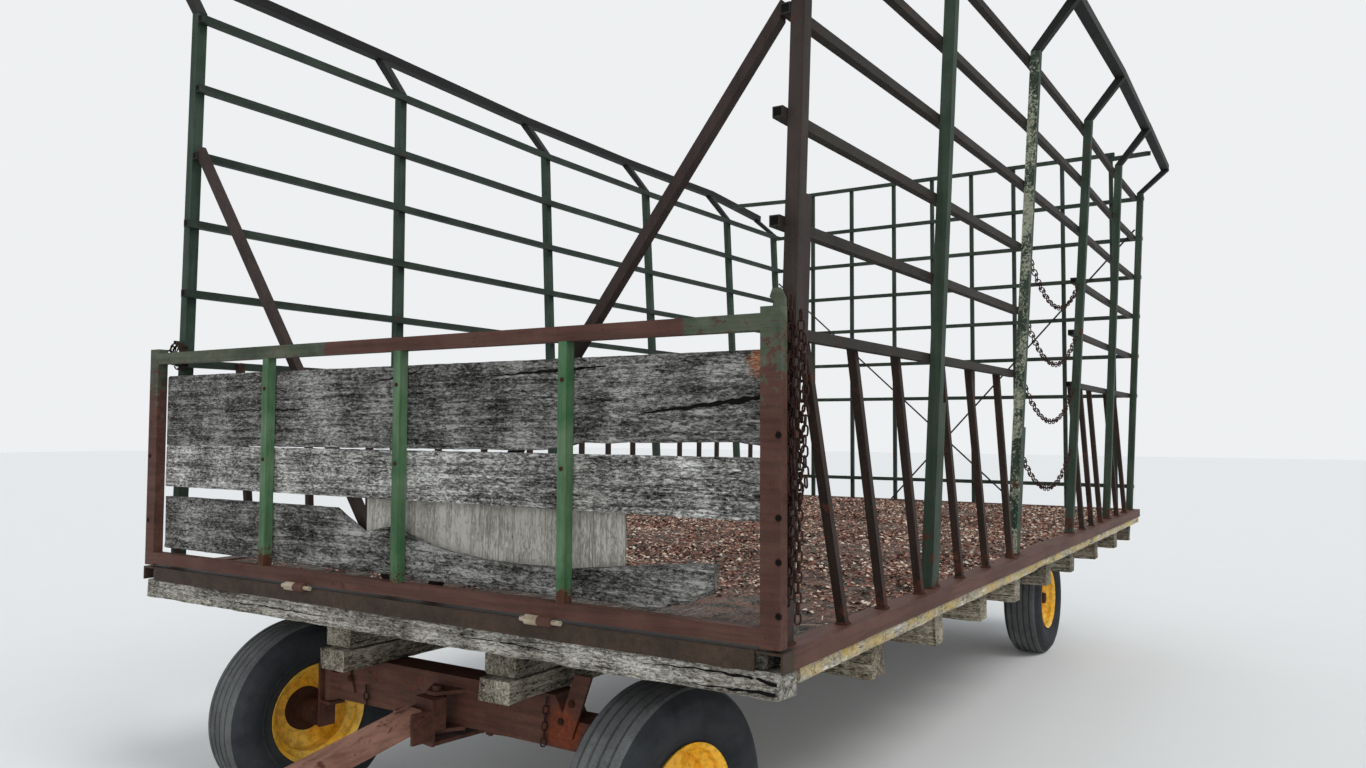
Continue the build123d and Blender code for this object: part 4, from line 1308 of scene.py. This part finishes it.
@dataclass
class ChainWork(Assembly):
    """Rusty chains of bent round links in the doorway, at the front corner posts and on the front axle."""

    title = "chains"
    wire: float = 0.0027
    bend: int = 6
    sides: int = 5
    link_long: float = 0.034
    link_wide: float = 0.021
    corner_strands: tuple[tuple[float, float, float, float], ...] = (
        (-0.068, 1.360, 0.86, 0.06), (-0.070, 1.378, 0.84, 0.10), (-0.066, 1.396, 0.80, 0.16),
        (-0.072, 1.412, 0.84, 0.34), (-0.066, 1.426, 0.78, 0.40), (-0.074, 1.402, 0.62, 0.04),
        (-0.064, 1.388, 0.48, 0.12))
    tangle: Triple = (-0.063, -1.325, 0.835)
    tangle_radius: float = 0.045
    tangle_turns: int = 3
    tangle_step: float = 0.012
    axle_strands: tuple[tuple[float, float, float, float], ...] = ((-0.405, -0.378, -0.470, 0.006),
                                                                   (0.437, -0.300, -0.455, -0.014))
    off_beam: float = 0.013

    def link(self, batch: Batch, centre: Vector, along: Vector, across: Vector, length: float, width: float,
             tone: float) -> None:
        """Add one round link.

        Args:
            batch: Where it is collected.
            centre: Its middle.
            along: The way of its long axis.
            across: The way of its short axis.
            length: Its length outside.
            width: Its width outside.
            tone: Its own shade.
        """
        normal = along.cross(across).normalized()
        radius = width / 2 - self.wire
        straight = length / 2 - width / 2
        path: list[tuple[Vector, Vector]] = []
        for end, base in ((1, -math.pi / 2), (-1, math.pi / 2)):
            for i in range(self.bend):
                turn = base + math.pi * i / (self.bend - 1)
                out = along * math.cos(turn) + across * math.sin(turn)
                path.append((centre + along * straight * end + out * radius, out))
        rings = [[place + (out * math.cos(a) + normal * math.sin(a)) * self.wire for a in turns(self.sides)]
                 for place, out in path]
        batch.rings(np.array(rings), closed=True, tone=tone)

    def strand(self, batch: Batch, path: list[Vector], tone: float) -> None:
        """Run links end to end along a path, each turned a quarter from the last.

        Args:
            batch: Where they are collected.
            path: The points that the chain passes.
            tone: The strand's own shade.
        """
        lengths = [0.0]
        for a, b in zip(path, path[1:]):
            lengths.append(lengths[-1] + (b - a).length)
        pitch = self.link_long - 3.2 * self.wire
        coordinates = [[p[i] for p in path] for i in range(3)]

        def at(reach: float) -> Vector:
            """Return the point at a length along the path."""
            return Vector([float(np.interp(reach, lengths, row)) for row in coordinates])

        for i in range(int(lengths[-1] / pitch)):
            start, end = at(i * pitch), at((i + 1) * pitch)
            along = (end - start).normalized()
            across = along.orthogonal().normalized()
            across.rotate(Quaternion(along, (i % 2) * math.pi / 2 + 0.35 * wander(i * 0.7, tone * 9.0, 2.0)))
            self.link(batch, (start + end) / 2, along, across, self.link_long, self.link_wide,
                      (tone + 0.1 * (i % 3)) % 1.0)

    def hang(self, name: str, strands: Iterable[tuple[list[Vector], float]]) -> None:
        """Make one piece of loose chains.

        Args:
            name: The piece's name.
            strands: The path and the shade of each chain.
        """
        batch = Batch()
        for path, tone in strands:
            self.strand(batch, path, tone)
        batch.piece(name, "wagon", "chain_steel", [CHAIN_RUST], crease=80.0, relief=0.001)

    def corner_point(self, index: int, share: float) -> Vector:
        """Find a point of the corner bundle.

        Args:
            index: The strand's number.
            share: How far down its fall, from 0 to 1.

        Returns:
            The point.
        """
        x, y, top, foot = self.corner_strands[index]
        drift = 0.008 * wander(share * 3.0, index * 2.1, 1.0)
        return Vector((EDGE.x + x + drift, y + 0.012 * wander(share * 2.0, index * 3.3, 7.0),
                       EDGE.z + top + (foot - top) * share))

    def tangle_point(self, index: int, share: float) -> Vector:
        """Find a point of the tangle.

        Args:
            index: The turn's number.
            share: How far along the turn, from 0 to 1.

        Returns:
            The point.
        """
        turn = math.tau * (share * 1.3 + index * 0.3)
        x, y, z = self.tangle
        return Vector((EDGE.x + x - self.tangle_step * index, y + self.tangle_radius * math.cos(turn),
                       EDGE.z + z + self.tangle_radius * math.sin(turn) - self.tangle_step * share * index))

    def build(self) -> None:
        """Replace each flat link by a round one, and hang the chains at the corner posts and on the axle."""
        batch = Batch()
        for index, solid in enumerate(solids_of("chains")):
            centre = solid.mean(0)
            spread = solid - centre
            _, axes = np.linalg.eigh(spread.T @ spread)
            length, width = (float(np.ptp(spread @ axes[:, i])) for i in (2, 1))
            self.link(batch, Vector(centre), Vector(axes[:, 2]), Vector(axes[:, 1]), length, width,
                      (index * 0.37) % 1.0)
        batch.piece("round_chain_links", "wagon", "chain_steel", [CHAIN_RUST], crease=80.0, replaces="chains",
                    relief=0.001)
        self.hang("corner_chains", [
            ([self.corner_point(i, share) for share in np.linspace(0, 1, 9)], (i * 0.23) % 1.0)
            for i in range(len(self.corner_strands))])
        self.hang("gate_chain", [
            ([self.tangle_point(i, share) for share in np.linspace(0, 1, 14)], 0.2 + 0.2 * i)
            for i in range(self.tangle_turns)])
        beam = AXLE.x + self.off_beam
        self.hang("axle_chains", [
            ([Vector((beam, y, EDGE.z + top)), Vector((beam, y + sway, EDGE.z + low))], 0.3)
            for y, top, low, sway in self.axle_strands])


@dataclass
class RunningGear(Assembly):
    """Axles, steering, reach pole and tongue, with the stakes' bolts."""

    title = "running gear"
    shares: tuple[float, ...] = (0.25, 0.55)
    inward: float = -0.012
    bolt_radius: float = 0.012
    bolt_height: float = 0.008

    def build(self) -> None:
        """Add bolt heads to the stakes."""
        batch = Batch()
        for solid in solids_of("bolster_stakes"):
            low, high = solid.min(0), solid.max(0)
            side = 1.0 if low[1] > 0 else -1.0
            for share in self.shares:
                y = low[1] + (high[1] - low[1]) * (share if side > 0 else 1 - share)
                y += side * self.inward
                place = Vector((high[0], y, low[2] + (high[2] - low[2]) * share))
                batch.nut(place, AHEAD, self.bolt_radius, self.bolt_height)
        batch.piece("gear_bolts", "wagon", "gear_steel", [BOLT_RUST])

    def dress(self) -> None:
        """Paint the gear."""
        dress(BEAM_PAINT, "front_axle", "rear_axle", "pivot_bracket", "reach_pole", "steer_head",
              "tie_rod_left", "tie_rod_right", "knuckle_left", "knuckle_right")
        dress(TONGUE_PAINT, "tongue")


@dataclass
class Wheel(Assembly):
    """A ribbed tyre on an enamelled rim, with its wheel nuts."""

    corner: str
    tread: float = 0.351
    grooves: tuple[float, ...] = (-0.054, -0.018, 0.018, 0.054)
    groove_deep: float = 0.009
    groove_half: float = 0.0035
    groove_lip: float = 0.0015
    tread_from: float = 0.335
    crown_drop: float = 0.0012
    crown_fall: float = 0.004
    crown_half: float = 0.08
    middle_drop: float = 0.0004
    segments: int = 120
    nut_count: int = 5
    nut_circle: float = 0.068
    nut_radius: float = 0.0125
    nut_height: float = 0.014
    disc_face: float = 0.024
    sidewall: ClassVar[Edge] = (
        (0.184, 0.0835), (0.190, 0.089), (0.204, 0.0915), (0.222, 0.101), (0.2245, 0.1035), (0.238, 0.1065),
        (0.2405, 0.1085), (0.262, 0.1125), (0.283, 0.1137), (0.286, 0.1125), (0.300, 0.1115), (0.314, 0.1065),
        (0.317, 0.1035), (0.330, 0.0945), (0.339, 0.0865), (0.3455, 0.079))
    title: str = field(default="wheel", init=False)

    def __post_init__(self) -> None:
        """Read the wheel's centre and axle from the frame's joints."""
        joint = next(j for j in frame["joints"] if j["name"] == f"{self.corner}_spin")
        self.title = f"wheel {self.corner}"
        self.body = joint["child"]
        self.centre = Vector(joint["pos_m"])
        self.outward = Vector(joint["axis"]).normalized() * (1.0 if "left" in self.corner else -1.0)
        self.second = self.outward.cross(UP).normalized()

    def tread_profile(self) -> Edge:
        """Draw the tyre's outline from one bead to the other.

        Returns:
            The outline's points as radius and distance outward.
        """
        crown = []
        for groove in self.grooves:
            rise = self.tread - self.crown_drop - self.crown_fall * (abs(groove) / self.crown_half) ** 2
            crown += [(rise, groove - self.groove_half - self.groove_lip),
                      (rise - self.groove_deep, groove - self.groove_half),
                      (rise - self.groove_deep, groove + self.groove_half),
                      (rise, groove + self.groove_half + self.groove_lip)]
        crown.insert(len(crown) // 2, (self.tread - self.middle_drop, 0.0))
        return (*((r, -o) for r, o in self.sidewall), *crown, *reversed(self.sidewall))

    def point(self, turn: float, radius: float, out: float) -> Vector:
        """Return the place at an angle and radius round the axle and a distance outward."""
        radial = UP * math.cos(turn) + self.second * math.sin(turn)
        return self.centre + radial * radius + self.outward * out

    def build(self) -> None:
        """Turn the tyre, and bolt the wheel on."""
        profile = self.tread_profile()
        wide = len(profile)
        rings = np.array([[self.point(a, r, o) for r, o in profile] for a in turns(self.segments)])
        starts = [(i * wide, ((i + 1) % self.segments) * wide) for i in range(self.segments)]
        tyre = Batch()
        tyre.add(rings.reshape(-1, 3), [(here + j, there + j, there + j + 1, here + j + 1)
                                        for here, there in starts for j in range(wide - 1)])
        inner = [min(a[0], b[0]) for a, b in zip(profile, profile[1:])]
        tyre.kinds = [int(radius <= self.tread_from) for radius in inner] * self.segments
        tyre.piece(f"ribbed_tyre_{self.corner}", self.body, "tyre_rubber", [TREAD_RUBBER, WALL_RUBBER],
                   crease=32.0, replaces=f"tyre_{self.corner}", relief=0.0015)
        nuts = Batch()
        for i in range(self.nut_count):
            place = self.point(math.tau * (i + 0.3) / self.nut_count, self.nut_circle, self.disc_face)
            nuts.nut(place, self.outward, self.nut_radius, self.nut_height, tone=0.2 + 0.15 * i)
        nuts.piece(f"wheel_nuts_{self.corner}", self.body, "hub_iron", [BOLT_RUST])

    def dress(self) -> None:
        """Enamel the rim and grease the hub."""
        dress(RIM_PAINT, f"rim_{self.corner}")
        dress(HUB_GREASE, f"hub_{self.corner}")


@dataclass
class Stage(Assembly):
    """The pale floor, the soft light and the camera at the photograph's angle."""

    title = "stage"
    frame_wide: float = 1366.0
    focal_pixels: float = 1001.1
    sensor: float = 36.0
    aim: Triple = (212.711, 2.629, 0.254)
    stand: Triple = (2.1825, 2.5094, 0.5401)
    floor_half: float = 60.0
    floor_relief: float = 0.0005
    sky: Colour = tint(226, 232, 240)
    sky_strength: float = 0.78
    backdrop: Colour = tint(238, 240, 242)
    far: float = 200.0
    lamps: tuple[tuple[str, float, float, Triple], ...] = (("key", 1.15, 22.0, (38.0, 14.0, 150.0)),
                                                           ("fill", 0.9, 60.0, (72.0, 0.0, 118.0)))

    def show(self, name: str, data: bpy.types.ID) -> bpy.types.Object:
        """Put an object into the scene.

        Args:
            name: The object's name.
            data: What it shows.

        Returns:
            The object.
        """
        made = bpy.data.objects.new(name, data)
        bpy.context.scene.collection.objects.link(made)
        return made

    def build(self) -> None:
        """Lay the floor, light the world and set the camera."""
        self.floor()
        self.light()
        self.camera()

    def floor(self) -> None:
        """Lay a wide floor at ground level."""
        mesh = bpy.data.meshes.new("studio_floor")
        corners = [(a * self.floor_half, b * self.floor_half, 0)
                   for a, b in ((-1, -1), (1, -1), (1, 1), (-1, 1))]
        mesh.from_pydata(corners, [], [(0, 1, 2, 3)])
        mesh.materials.append(FLOOR.material(self.floor_relief))
        self.show("studio_floor", mesh)

    def light(self) -> None:
        """Light the scene softly from above, with a pale backdrop for the camera."""
        world = bpy.data.worlds.new("studio")
        bpy.context.scene.world = world
        world.use_nodes = True
        world.node_tree.nodes.clear()
        graph = Graph(world.node_tree)
        rays = graph.values("ShaderNodeLightPath")
        seen = rays["Is Camera Ray"].peak(rays["Is Glossy Ray"].peak(rays["Is Transmission Ray"]))
        lit = graph.value("ShaderNodeBackground", {"Color": self.sky, "Strength": self.sky_strength})
        shown = graph.value("ShaderNodeBackground", {"Color": self.backdrop, "Strength": 1.0})
        mixed = graph.value("ShaderNodeMixShader", {0: seen, 1: lit, 2: shown})
        graph.node("ShaderNodeOutputWorld", {"Surface": mixed})
        for name, energy, angle, turn in self.lamps:
            lamp = bpy.data.lights.new(name, "SUN")
            lamp.energy, lamp.angle = energy, math.radians(angle)
            self.show(name, lamp).rotation_euler = [math.radians(v) for v in turn]
        bpy.context.scene.view_settings.view_transform = "Standard"

    def camera(self) -> None:
        """Stand the camera where the photograph was taken from, turned by yaw, pitch and roll."""
        yaw, pitch, roll = (math.radians(v) for v in self.aim)
        ahead = Vector((math.cos(yaw) * math.cos(pitch), math.sin(yaw) * math.cos(pitch), math.sin(pitch)))
        right = ahead.cross(UP).normalized()
        up = right.cross(ahead)
        c, s = math.cos(roll), math.sin(roll)
        right, up = right * c + up * s, up * c - right * s
        lens = bpy.data.cameras.new("camera")
        lens.sensor_width = self.sensor
        lens.lens = self.sensor * self.focal_pixels / self.frame_wide
        lens.clip_end = self.far
        x, y, z = self.stand
        made = self.show("camera", lens)
        turned = Matrix((right, up, -ahead)).transposed().to_4x4()
        made.matrix_world = Matrix.Translation((EDGE.x + x, y, EDGE.z + z)) @ turned
        bpy.context.scene.camera = made


def main() -> None:
    """Build the parts in order."""
    logging.basicConfig(level=logging.INFO, format="%(name)s: %(message)s")
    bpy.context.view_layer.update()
    parts: list[Assembly] = [Stage(), Timberwork(), DeckLitter(), SideWalls(), FrontGate(), ChainWork(),
                             RunningGear()]
    parts += [Wheel(corner) for corner in ("front_left", "front_right", "rear_left", "rear_right")]
    for part in parts:
        part.make()


if __name__ == "__main__":
    main()
